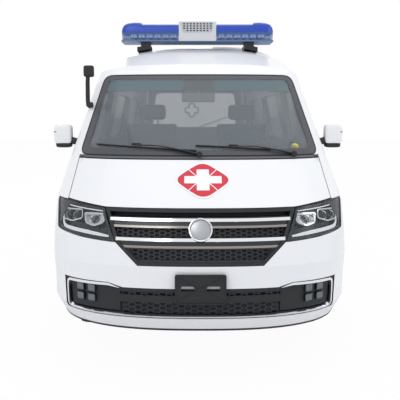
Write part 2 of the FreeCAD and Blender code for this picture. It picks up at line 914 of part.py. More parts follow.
lining = hull(size.wall + size.seat_gap)
floor_top = size.floor_bottom + size.floor_wall
floor = lining.common(block(-half_width, half_width, size.bulkhead_place, size.overall_length,
                            size.floor_bottom, floor_top))
for radius, axle in ((size.arch_radius, size.front_axle), (size.rear_arch_radius, rear_axle)):
    bulge = arch(radius + size.arch_wall, axle, size.wheelhouse_inner - size.arch_wall)
    bulge = bulge.common(block(0, half_width, 0, size.overall_length, size.floor_bottom,
                               size.header_height)).common(lining)
    hollow = arch(radius, axle, size.wheelhouse_inner)
    floor = less(floor.fuse(both(bulge)), hollow, mirrored(hollow))
door_clearance = block(half_width - size.wall - size.door_gap, half_width,
                       size.door_front - 4 * size.door_gap, door_rear + 2 * size.door_gap,
                       size.floor_bottom, size.belt_height)
floor = less(floor, both(door_clearance))
shaped("floor_pan", floor)

front_bulge = arch(size.arch_radius + size.arch_wall + size.seat_gap, size.front_axle,
                   size.wheelhouse_inner - size.arch_wall - size.seat_gap)
wall_rear = size.bulkhead_place + size.bulkhead_wall
firewall = lining.common(block(-half_width, half_width, size.bulkhead_place, wall_rear,
                               floor_top + size.seat_gap, size.screen_bottom - size.seat_gap))
cowl_bottom = size.bonnet_top + size.door_gap
shelf_box = block(-size.bonnet_half, size.bonnet_half, 0, wall_rear, cowl_bottom,
                  size.screen_bottom - size.seat_gap)
shelf = outer.common(behind_cowl_line(size.door_gap)).common(shelf_box)
bulkhead = less(firewall.fuse(shelf), front_bulge, mirrored(front_bulge))
for parts, side in zip(bonnet_hinges, (1, -1)):
    ear_x = bonnet_axis.x - size.bonnet_hinge_length / 2 - size.hinge_play
    ear = block(ear_x - size.hinge_ear, ear_x, bonnet_axis.y - size.hinge_radius, wall_rear,
                bonnet_axis.z - size.hinge_radius, cowl_bottom + size.hinge_play)
    slot = block(ear_x, size.bonnet_half + size.overrun, 0,
                 bonnet_axis.y + size.hinge_radius + size.hinge_play, 0, size.screen_bottom)
    slot = slot if side > 0 else mirrored(slot)
    bulkhead = less(bulkhead, slot)
    bulkhead = bulkhead.fuse(ear if side > 0 else mirrored(ear)).fuse(parts["pin"])
shaped("bulkhead", bulkhead)

# Sub-parts tied to the sheet: outlines, primitives and their unions


def new_body(label):
    return document.addObject("PartDesign::Body", label)


def outline(body, role, points):
    """Closed polygon on one of the body's own planes, each corner tied to two formulas."""
    sketch = body.newObject("Sketcher::SketchObject", body.Name + "Outline")
    plane = [item for item in body.Origin.OriginFeatures if item.Role == role][0]
    sketch.AttachmentSupport = [(plane, "")]
    sketch.MapMode = "FlatFace"
    count = len(points)
    spots = [Vector(math.cos(math.tau * i / count), math.sin(math.tau * i / count), 0) * size.wall
             for i in range(count)]
    for i in range(count):
        sketch.addGeometry(Part.LineSegment(spots[i], spots[(i + 1) % count]))
    for i in range(count):
        sketch.addConstraint(Sketcher.Constraint("Coincident", i, 2, (i + 1) % count, 1))
    for i, (across, up) in enumerate(points):
        for kind, formula, value in (("DistanceX", across, spots[i].x), ("DistanceY", up, spots[i].y)):
            number = sketch.addConstraint(Sketcher.Constraint(kind, -1, 1, i, 1, value))
            bind(sketch, f"Constraints[{number}]", formula)
    return sketch


def pad(body, sketch, thickness):
    feature = body.newObject("PartDesign::Pad", body.Name + "Pad")
    feature.Profile = sketch
    feature.SideType = "Symmetric"
    bind(feature, "Length", thickness)
    return feature


def spun(body, sketch):
    feature = body.newObject("PartDesign::Revolution", body.Name + "Spin")
    feature.Profile = sketch
    feature.ReferenceAxis = (sketch, ["H_Axis"])
    feature.Angle = 360
    return feature


def softened(body, base, radius, chosen):
    """Rounds the edges that chosen picks."""
    document.recompute()
    names = [f"Edge{number + 1}" for number, edge in enumerate(base.Shape.Edges) if chosen(edge)]
    feature = body.newObject("PartDesign::Fillet", body.Name + "Soft")
    feature.Base = (base, names)
    bind(feature, "Radius", radius)
    return feature


def bevelled(body, base, width):
    """Takes every edge off at a slant."""
    document.recompute()
    feature = body.newObject("PartDesign::Chamfer", body.Name + "Bevel")
    feature.Base = (base, [f"Edge{number + 1}" for number in range(len(base.Shape.Edges))])
    bind(feature, "Size", width)
    return feature


counters = {}


def fresh(kind, stem):
    counters[stem] = counters.get(stem, 0) + 1
    return document.addObject(kind, f"{stem}_{counters[stem]}")


def slab(x, y, z, width, length, height):
    """A box from its lowest corner; every size is a formula."""
    thing = fresh("Part::Box", "slab")
    bind(thing, "Length", width)
    bind(thing, "Width", length)
    bind(thing, "Height", height)
    bind(thing, "Placement.Base.x", x)
    bind(thing, "Placement.Base.y", y)
    bind(thing, "Placement.Base.z", z)
    return thing


TURNS = {
    "x": FreeCAD.Rotation(Vector(0, 1, 0), QUARTER_TURN),
    "y": FreeCAD.Rotation(Vector(1, 0, 0), -90),
    "z": FreeCAD.Rotation(),
}


def shaft(x, y, z, radius, length, axis):
    """A cylinder that starts at x, y, z and runs along +axis."""
    thing = fresh("Part::Cylinder", "shaft")
    thing.Placement = FreeCAD.Placement(Vector(0, 0, 0), TURNS[axis])
    bind(thing, "Radius", radius)
    bind(thing, "Height", length)
    bind(thing, "Placement.Base.x", x)
    bind(thing, "Placement.Base.y", y)
    bind(thing, "Placement.Base.z", z)
    return thing


def united(pieces):
    thing = fresh("Part::MultiFuse", "union")
    thing.Shapes = pieces
    return thing


def group(pieces):
    thing = fresh("Part::Compound", "set")
    thing.Links = pieces
    return thing


def without(base, tool):
    thing = fresh("Part::Cut", "remainder")
    thing.Base = base
    thing.Tool = tool
    return thing


def reflected(source):
    thing = fresh("Part::Mirroring", "mirror")
    thing.Source = source
    thing.Normal = (1, 0, 0)
    return thing


def pair(source):
    return [source, reflected(source)]


# Rear bumper: a step of a bumper that wraps round both corners

bumper_body = new_body("rear_bumper")
bumper_sketch = outline(bumper_body, "XY_Plane", [
    ("-body_width / 2", "0"),
    ("-body_width / 2", "rear_bumper_length"),
    ("body_width / 2", "rear_bumper_length"),
    ("body_width / 2", "0"),
    ("body_width / 2 - rear_bumper_wall", "0"),
    ("body_width / 2 - rear_bumper_wall", "rear_bumper_length - rear_bumper_depth"),
    ("rear_bumper_wall - body_width / 2", "rear_bumper_length - rear_bumper_depth"),
    ("rear_bumper_wall - body_width / 2", "0"),
])
bumper_pad = pad(bumper_body, bumper_sketch, "rear_bumper_height")


def upright_outer(edge):
    box = edge.BoundBox
    return box.ZLength > box.YLength and box.XLength < 1 and box.YMax > size.rear_bumper_length - 1


softened(bumper_body, bumper_pad, "tail_corner", upright_outer)
node(bumper_body, "rear_bumper", "0", "overall_length - rear_bumper_length",
     "tailgate_bottom - door_gap - rear_bumper_height / 2")

# Wheels

tyre_points = [
    ("-bead_half", "rim_radius"),
    ("-tyre_width / 2", "rim_radius + sidewall_swell"),
    ("-tyre_width / 2", "tyre_radius - shoulder"),
    ("shoulder - tyre_width / 2", "tyre_radius"),
    ("tyre_width / 2 - shoulder", "tyre_radius"),
    ("tyre_width / 2", "tyre_radius - shoulder"),
    ("tyre_width / 2", "rim_radius + sidewall_swell"),
    ("bead_half", "rim_radius"),
]
rim_points = [
    ("-bead_half", "rim_radius"),
    ("bead_half", "rim_radius"),
    ("bead_half", "rim_radius - rim_wall"),
    ("rim_dish", "rim_radius - rim_wall"),
    ("rim_dish", "spindle_radius + bearing_gap"),
    ("rim_dish - hub_length", "spindle_radius + bearing_gap"),
    ("rim_dish - hub_length", "hub_radius"),
    ("rim_dish - rim_wall", "hub_radius"),
    ("rim_dish - rim_wall", "rim_radius - rim_wall"),
    ("-bead_half", "rim_radius - rim_wall"),
]
corners = {
    "fl": ("track / 2", "front_axle", 0),
    "fr": ("-track / 2", "front_axle", 180),
    "rl": ("track / 2", "front_axle + wheelbase", 0),
    "rr": ("-track / 2", "front_axle + wheelbase", 180),
}
for corner, (x, y, turn) in corners.items():
    tyre = new_body("tyre_" + corner)
    spun(tyre, outline(tyre, "XY_Plane", tyre_points))
    rim = new_body("rim_" + corner)
    disc = spun(rim, outline(rim, "XY_Plane", rim_points))
    hole_sketch = rim.newObject("Sketcher::SketchObject", "hole_" + corner)
    plane = [item for item in rim.Origin.OriginFeatures if item.Role == "YZ_Plane"][0]
    hole_sketch.AttachmentSupport = [(plane, "")]
    hole_sketch.MapMode = "FlatFace"
    hole_sketch.addGeometry(Part.Circle(Vector(size.rim_hole_circle, 0, 0), UP, size.rim_hole_radius))
    hole_sketch.addConstraint(Sketcher.Constraint("PointOnObject", 0, 3, -1))
    spread = hole_sketch.addConstraint(
        Sketcher.Constraint("DistanceX", -1, 1, 0, 3, size.rim_hole_circle))
    bind(hole_sketch, f"Constraints[{spread}]", "rim_hole_circle")
    bore = hole_sketch.addConstraint(Sketcher.Constraint("Radius", 0, size.rim_hole_radius))
    bind(hole_sketch, f"Constraints[{bore}]", "rim_hole_radius")
    document.recompute()
    pocket = rim.newObject("PartDesign::Pocket", "window_" + corner)
    pocket.Profile = hole_sketch
    pocket.SideType = "Symmetric"
    bind(pocket, "Length", "tyre_width")
    document.recompute()
    ring = rim.newObject("PartDesign::PolarPattern", "ring_" + corner)
    ring.Originals = [pocket]
    axis = [item for item in rim.Origin.OriginFeatures if item.Role == "X_Axis"][0]
    ring.Axis = (axis, [""])
    ring.Angle = 360
    ring.Occurrences = 10
    rim.Tip = ring
    for piece, label in ((tyre, "tyre_" + corner), (rim, "rim_" + corner)):
        piece.Placement = FreeCAD.Placement(Vector(0, 0, 0), FreeCAD.Rotation(UP, turn))
        node(piece, label, x, y, "tyre_radius")

# Front suspension: arms and struts on the chassis, knuckles that steer

arm_span = "kingpin_place - rail_half"
arms = []
for height in ("lower_arm_height", "upper_arm_height"):
    arm_body = new_body("arm_" + height.split("_")[0])
    arm_sketch = outline(arm_body, "XY_Plane", [
        ("0", "-arm_root_half"),
        (arm_span, "-arm_tip_half"),
        (arm_span, "arm_tip_half"),
        ("0", "arm_root_half"),
    ])
    pad(arm_body, arm_sketch, "arm_wall")
    bind(arm_body, "Placement.Base.x", "rail_half")
    bind(arm_body, "Placement.Base.y", "front_axle")
    bind(arm_body, "Placement.Base.z", height)
    eye = shaft("kingpin_place", "front_axle", f"{height} - arm_wall / 2", "arm_tip_half", "arm_wall", "z")
    bore = shaft("kingpin_place", "front_axle", f"{height} - arm_wall", "kingpin_radius + bearing_gap",
                 "2 * arm_wall", "z")
    arms.append(without(united([arm_body, eye]), bore))
strut_bottom = "lower_arm_height + arm_wall / 2"
strut = united([
    shaft("strut_place", "front_axle", strut_bottom, "strut_radius",
          f"floor_bottom - rail_height / 2 - ({strut_bottom})", "z"),
    slab("rail_half", "front_axle - strut_radius", "floor_bottom - rail_height / 2",
         "strut_place + strut_radius - rail_half", "2 * strut_radius", "rail_height / 4"),
])
turret = slab("rail_half", "front_axle - arm_root_half", "lower_arm_height - arm_wall / 2",
              "arm_wall", "2 * arm_root_half",
              "floor_bottom - rail_height / 4 - (lower_arm_height - arm_wall / 2)")
suspension = united([*arms, strut, turret])
node(group(pair(suspension)), "front_arms")

kingpin_bottom = "lower_arm_height - arm_wall / 2"
knuckle = united([
    shaft("kingpin_place", "front_axle", kingpin_bottom, "kingpin_radius",
          f"upper_arm_height + arm_wall / 2 - ({kingpin_bottom})", "z"),
    slab("kingpin_place - knuckle_width / 2", "front_axle - knuckle_length / 2",
         "lower_arm_height + arm_wall / 2 + knuckle_play", "knuckle_width", "knuckle_length",
         "upper_arm_height - lower_arm_height - arm_wall - 2 * knuckle_play"),
    shaft("kingpin_place", "front_axle", "tyre_radius", "spindle_radius",
          "track / 2 + rim_dish - kingpin_place", "x"),
])
node(knuckle, "knuckle_left")
node(reflected(knuckle), "knuckle_right", "0", "overall_length / 2")

# Rear axle, springs and the shaft that drives it

axle_half = "track / 2 - knuckle_width"
axle_tube = shaft(f"-({axle_half})", "front_axle + wheelbase", "tyre_radius", "axle_radius",
                  f"2 * ({axle_half})", "x")
spindles = shaft("-track / 2 - rim_dish", "front_axle + wheelbase", "tyre_radius", "spindle_radius",
                 "track + 2 * rim_dish", "x")
carrier = shaft("-differential_half", "front_axle + wheelbase", "tyre_radius", "differential_radius",
                "2 * differential_half", "x")
drive = shaft("0", "gearbox_front + gearbox_length", "tyre_radius", "shaft_radius",
              "front_axle + wheelbase - gearbox_front - gearbox_length", "y")
node(united([axle_tube, spindles, carrier, drive]), "rear_axle")

leaf = slab("spring_place - spring_width / 2", "front_axle + wheelbase - spring_half_length",
            "tyre_radius + axle_radius", "spring_width", "2 * spring_half_length", "2 * spring_wall")
shackles = [
    slab("spring_place - spring_width / 2", f"front_axle + wheelbase + {shift}",
         "tyre_radius + axle_radius", "spring_width", "spring_width",
         "floor_bottom - tyre_radius - axle_radius - seat_gap")
    for shift in ("spring_half_length - spring_width", "0 - spring_half_length")
]
damper = shaft("rail_half + damper_radius + seat_gap",
               "front_axle + wheelbase - axle_radius - damper_radius - seat_gap",
               "tyre_radius - axle_radius", "damper_radius",
               "floor_bottom - tyre_radius + axle_radius - seat_gap", "z")
node(group(pair(united([leaf, *shackles, damper]))), "rear_springs")

# Chassis: two rails, cross members, front beam, tow eye and jacking pads

rail = slab("rail_half - rail_width", "rail_front", "floor_bottom - rail_height - seat_gap",
            "rail_width", "rail_rear - rail_front", "rail_height")
members = [
    slab("rail_width - rail_half", f"{spot}", "floor_bottom - rail_height - seat_gap",
         "2 * (rail_half - rail_width)", "crossmember_width", "rail_height / 2")
    for spot in ("front_axle - arm_root_half", "tank_front - 2 * crossmember_width",
                 "tank_front + tank_length + crossmember_width", "rail_rear - crossmember_width")
]
rails = united([rail, reflected(rail), *members])
beam = fresh("Part::Feature", "beam")
beam.Shape = less(hull(size.bumper_wall + size.mesh_wall + size.seat_gap),
                  hull(size.bumper_wall + size.beam_depth)).common(block(
                      -size.beam_half, size.beam_half, -size.overrun, size.rail_front + size.overrun,
                      size.beam_bottom, size.beam_bottom + size.beam_height))
horn_start = "bumper_wall + beam_depth + grille_frame"
horns = slab("rail_half - rail_width", horn_start, "beam_bottom", "rail_width",
             f"rail_front + overrun - ({horn_start})", "beam_height / 2")
eye_place = "overall_length - rear_bumper_depth - tow_eye_ring"
eye_height = "tailgate_bottom - door_gap - rear_bumper_height - tow_eye_ring"
eye_ring = without(
    united([
        shaft("rail_half - rail_width / 2 - tow_eye_wall / 2", eye_place, eye_height, "tow_eye_ring",
              "tow_eye_wall", "x"),
        slab("rail_half - rail_width / 2 - tow_eye_wall / 2", f"{eye_place} - tow_eye_ring", eye_height,
             "tow_eye_wall", "2 * tow_eye_ring", f"floor_bottom - rail_height / 2 - ({eye_height})"),
    ]),
    shaft("rail_half - rail_width", eye_place, eye_height, "tow_eye_radius", "rail_width", "x"))
pads = [
    slab("rail_half - jack_pad_size / 2 - rail_width / 2", f"{spot}",
         "floor_bottom - rail_height - jack_pad_height", "jack_pad_size", "jack_pad_size",
         "jack_pad_height")
    for spot in ("front_axle + arch_radius + jack_pad_size",
                 "front_axle + wheelbase - rear_arch_radius - 4 * jack_pad_size")
]
node(united([rails, beam, horns, reflected(horns), eye_ring, *pads,
             *[reflected(piece) for piece in pads]]), "chassis")

# Engine and gearbox, tank, exhaust and spare wheel

engine = slab("-engine_width / 2", "engine_front", "engine_bottom", "engine_width", "engine_length",
              "engine_height")
gearbox = slab("-gearbox_width / 2", "engine_front + engine_length",
               "floor_bottom - rail_height - 2 * seat_gap - gearbox_height",
               "gearbox_width", "gearbox_front + gearbox_length - engine_front - engine_length",
               "gearbox_height")
node(united([engine, gearbox]), "engine")

tank_body = new_body("fuel_tank")
tank_sketch = outline(tank_body, "XZ_Plane", [
    ("-tank_width / 2", "-tank_height / 2"),
    ("tank_width / 2", "-tank_height / 2"),
    ("tank_width / 2", "tank_height / 2"),
    ("-tank_width / 2", "tank_height / 2"),
])
bevelled(tank_body, pad(tank_body, tank_sketch, "tank_length"), "tank_corner")
node(tank_body, "fuel_tank", "rail_half + seat_gap + tank_width / 2",
     "tank_front + tank_length / 2", "floor_bottom - seat_gap - tank_height / 2")

silencer = shaft("-exhaust_place", "silencer_front", "exhaust_height", "silencer_radius",
                 "silencer_length", "y")
front_pipe = shaft("-exhaust_place", "engine_front + engine_length", "exhaust_height",
                   "exhaust_radius", "silencer_front - engine_front - engine_length", "y")
tail_pipe = shaft("-exhaust_place", "silencer_front + silencer_length", "exhaust_height",
                  "exhaust_radius", "exhaust_end - silencer_front - silencer_length", "y")
hanger = slab("-exhaust_place - exhaust_radius / 4", "silencer_front + silencer_length / 2",
              "exhaust_height", "exhaust_radius / 2", "crossmember_width",
              "floor_bottom - exhaust_height - seat_gap")
node(united([silencer, front_pipe, tail_pipe, hanger]), "exhaust")

spare_body = new_body("spare_wheel")
spun(spare_body, outline(spare_body, "XY_Plane", [
    ("-spare_width / 2", "rim_radius / 3"),
    ("-spare_width / 2", "spare_radius - shoulder"),
    ("shoulder - spare_width / 2", "spare_radius"),
    ("spare_width / 2 - shoulder", "spare_radius"),
    ("spare_width / 2", "spare_radius - shoulder"),
    ("spare_width / 2", "rim_radius / 3"),
]))
spare_body.Placement = FreeCAD.Placement(Vector(0, 0, 0), FreeCAD.Rotation(Vector(0, 1, 0), QUARTER_TURN))
node(spare_body, "spare_wheel", "0", "rail_rear - crossmember_width - 2 * seat_gap - spare_radius",
     "floor_bottom - seat_gap - spare_width / 2")

# Cab: dashboard, steering wheel, seats and bench

dash_body = new_body("dash_block")
dash_sketch = outline(dash_body, "YZ_Plane", [
    ("0", "0"),
    ("dash_depth / 2", "0"),
    ("dash_depth", "dash_height / 3"),
    ("dash_depth", "2 * dash_height / 3"),
    ("3 * dash_depth / 4", "dash_height"),
    ("0", "dash_height"),
])
pad(dash_body, dash_sketch, "dash_width")
grip = new_body("steering_grip")
spun(grip, outline(grip, "XY_Plane", [
    ("-wheel_grip / 2", "wheel_radius - wheel_grip"),
    ("-wheel_grip", "wheel_radius"),
    ("-wheel_grip / 2", "wheel_radius + wheel_grip"),
    ("wheel_grip / 2", "wheel_radius + wheel_grip"),
    ("wheel_grip", "wheel_radius"),
    ("wheel_grip / 2", "wheel_radius - wheel_grip"),
]))
wheel = united([
    grip,
    shaft("-wheel_hub_depth", "0", "0", "wheel_hub_radius", "wheel_hub_depth + wheel_grip / 2", "x"),
    slab("-wheel_grip / 2", "-wheel_radius", "-wheel_spoke / 2", "wheel_grip", "2 * wheel_radius",
         "wheel_spoke"),
    slab("-wheel_grip / 2", "-wheel_spoke / 2", "-wheel_radius", "wheel_grip", "wheel_spoke",
         "wheel_radius"),
])
rake = math.radians(size.column_rake)
column_way = Vector(0, math.cos(rake), math.sin(rake))
wheel.Placement = FreeCAD.Placement(Vector(0, 0, 0), FreeCAD.Rotation(ACROSS, column_way))
node(wheel, "steering_wheel", "wheel_place", "wheel_along", "wheel_height")

column = fresh("Part::Feature", "column")
wheel_centre = Vector(size.wheel_place, size.wheel_along, size.wheel_height)
column_top = wheel_centre - column_way * (size.wheel_hub_depth + size.seat_gap)
column.Shape = rod(column_top, column_top - column_way * size.column_length, size.column_radius)
bind(dash_body, "Placement.Base.y", "bulkhead_place + bulkhead_wall + seat_gap")
bind(dash_body, "Placement.Base.z", "dash_top - dash_height")
node(united([dash_body, column]), "dashboard")

seat_body = new_body("seat")
seat_sketch = outline(seat_body, "YZ_Plane", [
    ("0", "0"),
    ("seat_length", "0"),
    ("seat_length + seat_lean", "seat_back_height"),
    ("seat_length + seat_lean - seat_back_wall", "seat_back_height"),
    ("seat_length - seat_back_wall", "seat_thickness"),
    ("0", "seat_thickness"),
])
bevelled(seat_body, pad(seat_body, seat_sketch, "seat_width"), "seat_soft")
bind(seat_body, "Placement.Base.x", "seat_place")
bind(seat_body, "Placement.Base.y", "seat_front")
bind(seat_body, "Placement.Base.z", "seat_height - seat_thickness")
rest_body = new_body("headrest")
rest_sketch = outline(rest_body, "YZ_Plane", [
    ("0", "0"),
    ("headrest_wall", "0"),
    ("headrest_wall", "headrest_height"),
    ("0", "headrest_height"),
])
bevelled(rest_body, pad(rest_body, rest_sketch, "headrest_width"), "seat_soft / 2")
bind(rest_body, "Placement.Base.x", "seat_place")
bind(rest_body, "Placement.Base.y", "seat_front + seat_length + seat_lean - seat_back_wall")
bind(rest_body, "Placement.Base.z", "seat_height - seat_thickness + seat_back_height - seat_soft / 2")
seat_base = slab(
    "seat_place - seat_width / 2 + seat_base_inset", "seat_front + seat_base_inset",
    "floor_bottom + floor_wall + seat_gap", "seat_width - 2 * seat_base_inset",
    "seat_length - 2 * seat_base_inset",
    "seat_height - seat_thickness - floor_bottom - floor_wall")
node(group(pair(united([seat_body, rest_body, seat_base]))), "front_seats")

bench_left = "body_width / 2 - wall - bench_clearance - bench_width"
node(united([
    slab(bench_left, "bench_front", "floor_bottom + floor_wall + bench_height - bench_back_wall",
         "bench_width", "bench_length", "bench_back_wall"),
    slab(bench_left, "bench_front", "floor_bottom + floor_wall + seat_gap", "bench_width",
         "bench_base_length", "bench_height - bench_back_wall / 2"),
    slab(f"{bench_left} + bench_width - bench_back_wall", "bench_front",
         "floor_bottom + floor_wall + bench_height - bench_back_wall / 2", "bench_back_wall",
         "bench_length", "bench_back"),
]), "bench")

# Mirrors, stalk mirror and wipers

housing = new_body("mirror_housing")
housing_sketch = outline(housing, "XZ_Plane", [
    ("0", "0"),
    ("mirror_width", "mirror_height / 12"),
    ("mirror_width", "mirror_height"),
    ("0", "mirror_height"),
])
bevelled(housing, pad(housing, housing_sketch, "mirror_depth"), "mirror_soft")
bind(housing, "Placement.Base.x", "mirror_reach - mirror_width")
bind(housing, "Placement.Base.y", "mirror_place")
bind(housing, "Placement.Base.z", "mirror_bottom")
mirror_arm = fresh("Part::Feature", "mirror_arm")
arm_top = size.mirror_bottom + 2 * size.mirror_arm
mirror_arm.Shape = less(
    block(size.mirror_reach - size.mirror_width - 3 * size.mirror_arm,
          size.mirror_reach - size.mirror_width / 2,
          size.mirror_place - size.mirror_arm / 2, size.mirror_place + size.mirror_arm / 2,
          arm_top - size.mirror_arm, arm_top), hull(-size.seat_gap))
mirror = united([housing, mirror_arm])
node(mirror, "mirror_left")
node(reflected(mirror), "mirror_right", "0", "overall_length / 2")


SCREEN_OUT = Vector(0, -1, 1).normalize()


def skin_point(x, z, lift):
    """A point of the nose's skin at x and z, moved outwards by lift."""
    height, setback, width, sweep, lean, slope = shares_at(z / size.header_height)
    half = width * size.body_width / 2
    bend = 1 - (1 - abs(x / half) ** NOSE_POWER) ** (1 / NOSE_POWER)
    y = setback * size.nose_length + bend * sweep * size.corner_depth
    return Vector(x, y, z) + SCREEN_OUT * lift


def skin_normal(x, z):
    reach = size.wiper_radius
    across = skin_point(x + reach, z, 0) - skin_point(x - reach, z, 0)
    up = skin_point(x, z + reach, 0) - skin_point(x, z - reach, 0)
    return across.cross(up).normalize()


def solid_size(solid):
    return solid.Volume


def strip(points, radius):
    """A square bar through points that run across the screen."""
    out = SCREEN_OUT * radius
    down = Vector(0, -1, -1).normalize() * radius
    sections = [closed([point + out + down, point + out - down, point - out - down,
                        point - out + down]) for point in points]
    return Part.makeLoft(sections, True, True)


def wiper(tip_x, clip_x, pivot_x):
    """A blade that lies on the screen, its arm over it, and the pivot under the arm."""
    radius = size.wiper_radius
    blade_lift = radius + size.wiper_lift
    arm_lift = blade_lift + 2 * radius + size.seat_gap
    heel_x = 2 * clip_x - tip_x
    blade = []
    arm = []
    for step in range(WIPER_STEPS + 1):
        along = step / WIPER_STEPS
        blade.append(skin_point(tip_x + (heel_x - tip_x) * along, size.wiper_height, blade_lift))
        z = size.wiper_height + (size.wiper_pivot_height - size.wiper_height) * along
        arm.append(skin_point(clip_x + (pivot_x - clip_x) * along, z, arm_lift))
    out = skin_normal(pivot_x, size.wiper_pivot_height)
    foot = skin_point(pivot_x, size.wiper_pivot_height, 0)
    top_lift = arm_lift * out.dot(SCREEN_OUT) - radius - 2 * size.seat_gap
    pivot = rod(foot + out * 2 * size.seat_gap, foot + out * top_lift, size.wiper_pivot_radius)
    return [strip(blade, radius), strip(arm, radius), pivot]


shaped("wipers", Part.makeCompound([
    *wiper(-size.wiper_tip, -size.wiper_clip, size.wiper_pivot),
    *wiper(-size.wiper_pivot, size.wiper_second_clip, size.wiper_second_pivot)]))

stalk_foot = Vector(-size.stalk_reach, size.stalk_place, size.stalk_bottom)
stalk_head = stalk_foot + Vector(-size.stalk_lean, 0, size.stalk_height)
elbow = Vector(0, size.stalk_radius, 0)
stalk_side = stalk_head.x - size.stalk_radius
stalk = joined(
    rod(stalk_foot, stalk_head, size.stalk_radius),
    rod(stalk_foot, stalk_foot + ACROSS * size.overrun, size.stalk_radius),
    rod(stalk_foot - elbow, stalk_foot + elbow, size.stalk_radius),
    block(stalk_side, stalk_side + size.stalk_head_width,
          size.stalk_place - size.stalk_head_depth / 2, size.stalk_place + size.stalk_head_depth / 2,
          stalk_head.z - size.stalk_head_height / 2, stalk_head.z + size.stalk_head_height / 2))
shaped("stalk_mirror", max(less(stalk, hull(-size.seat_gap)).Solids, key=solid_size))

# Light bar: a base on feet, a speaker in the middle and two lenses

bar_bottom = "bar_base_bottom + bar_base_height"
base_body = new_body("bar_base")
base_sketch = outline(base_body, "XY_Plane", [
    ("-bar_length / 2", "-bar_depth / 2"),
    ("bar_length / 2", "-bar_depth / 2"),
    ("bar_length / 2", "bar_depth / 2"),
    ("-bar_length / 2", "bar_depth / 2"),
])


def upright(edge):
    return edge.BoundBox.ZLength > edge.BoundBox.XLength + edge.BoundBox.YLength


softened(base_body, pad(base_body, base_sketch, "bar_base_height"), "bar_corner", upright)
bind(base_body, "Placement.Base.y", "bar_place + bar_depth / 2")
bind(base_body, "Placement.Base.z", "bar_base_bottom + bar_base_height / 2")
speaker_body = new_body("bar_speaker")
cap_points = [
    ("-bar_depth / 2", "0"),
    ("bar_depth / 2", "0"),
    ("bar_depth / 2", "bar_lens_height / 2"),
    ("bar_depth / 3", "bar_lens_height"),
    ("-bar_depth / 3", "bar_lens_height"),
    ("-bar_depth / 2", "bar_lens_height / 2"),
]
pad(speaker_body, outline(speaker_body, "YZ_Plane", cap_points), "bar_speaker_width")
bind(speaker_body, "Placement.Base.y", "bar_place + bar_depth / 2")
bind(speaker_body, "Placement.Base.z", bar_bottom)
feet = fresh("Part::Feature", "bar_feet")
foot_block = block(size.bar_foot_place - size.bar_foot_width / 2,
                   size.bar_foot_place + size.bar_foot_width / 2,
                   size.bar_place + size.bar_corner / 2, size.bar_place + size.bar_depth - size.bar_corner / 2,
                   size.eaves_height, size.bar_base_bottom + size.bar_base_height / 2)
feet.Shape = both(less(foot_block, whole_outer))
node(united([base_body, speaker_body, feet]), "light_bar")

lens_length = "(bar_length - bar_speaker_width) / 2"
lens_body = new_body("beacon_lens")
lens_pad = pad(lens_body, outline(lens_body, "XZ_Plane", [
    ("bar_speaker_width / 2 + seat_gap", "0"),
    ("bar_length / 2", "0"),
    ("bar_length / 2", "3 * bar_lens_height / 4"),
    ("bar_length / 2 - bar_corner / 3", "bar_lens_height"),
    (f"bar_length / 2 - {lens_length} / 2", "bar_lens_height"),
    (f"bar_length / 2 - {lens_length} / 2 - bar_corner / 2", "7 * bar_lens_height / 8"),
    ("bar_speaker_width / 2 + seat_gap", "7 * bar_lens_height / 8"),
]), "bar_depth")


def outer_upright(edge):
    return upright(edge) and edge.BoundBox.XMin > (size.bar_length - 1) / 2


softened(lens_body, lens_pad, "bar_corner / 2", outer_upright)
bind(lens_body, "Placement.Base.y", "bar_place + bar_depth / 2")
bind(lens_body, "Placement.Base.z", bar_bottom)
node(group(pair(lens_body)), "beacon_lenses")

document.recompute()

problems = []
for thing in document.Objects:
    if "Invalid" in thing.State or "Error" in thing.State:
        problems.append(f"{thing.Label}: {thing.State}")
for thing in nodes:
    if thing.Shape.isNull() or not thing.Shape.isValid():
        problems.append(f"{thing.Label}: shape is not sound")
if problems:
    raise SystemExit("\n".join(problems))

os.makedirs("parts", exist_ok=True)
for thing in nodes:
    thing.Shape.exportStep(f"parts/{thing.Label}.step")
    print(f"{thing.Label:20s} {len(thing.Shape.Solids)} solids  {thing.Shape.Volume / 1e9:.5f} m3")
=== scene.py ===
import math

import bmesh
import bpy
from mathutils import Matrix, Vector
from mathutils.geometry import tessellate_polygon


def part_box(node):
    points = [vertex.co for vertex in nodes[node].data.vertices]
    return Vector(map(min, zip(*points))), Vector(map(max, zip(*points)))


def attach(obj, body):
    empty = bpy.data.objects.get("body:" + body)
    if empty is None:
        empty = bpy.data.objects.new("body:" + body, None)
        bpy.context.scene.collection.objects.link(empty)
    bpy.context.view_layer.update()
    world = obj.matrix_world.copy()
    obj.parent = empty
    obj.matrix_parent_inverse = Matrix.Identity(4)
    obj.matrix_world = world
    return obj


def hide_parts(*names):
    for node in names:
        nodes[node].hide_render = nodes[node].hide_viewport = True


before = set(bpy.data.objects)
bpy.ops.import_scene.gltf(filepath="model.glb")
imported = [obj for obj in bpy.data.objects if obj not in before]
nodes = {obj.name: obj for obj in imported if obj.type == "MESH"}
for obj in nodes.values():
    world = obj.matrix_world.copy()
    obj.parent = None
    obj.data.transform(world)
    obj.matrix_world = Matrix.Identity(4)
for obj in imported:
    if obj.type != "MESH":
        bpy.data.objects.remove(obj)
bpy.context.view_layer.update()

BUMPER_Y = -2.45

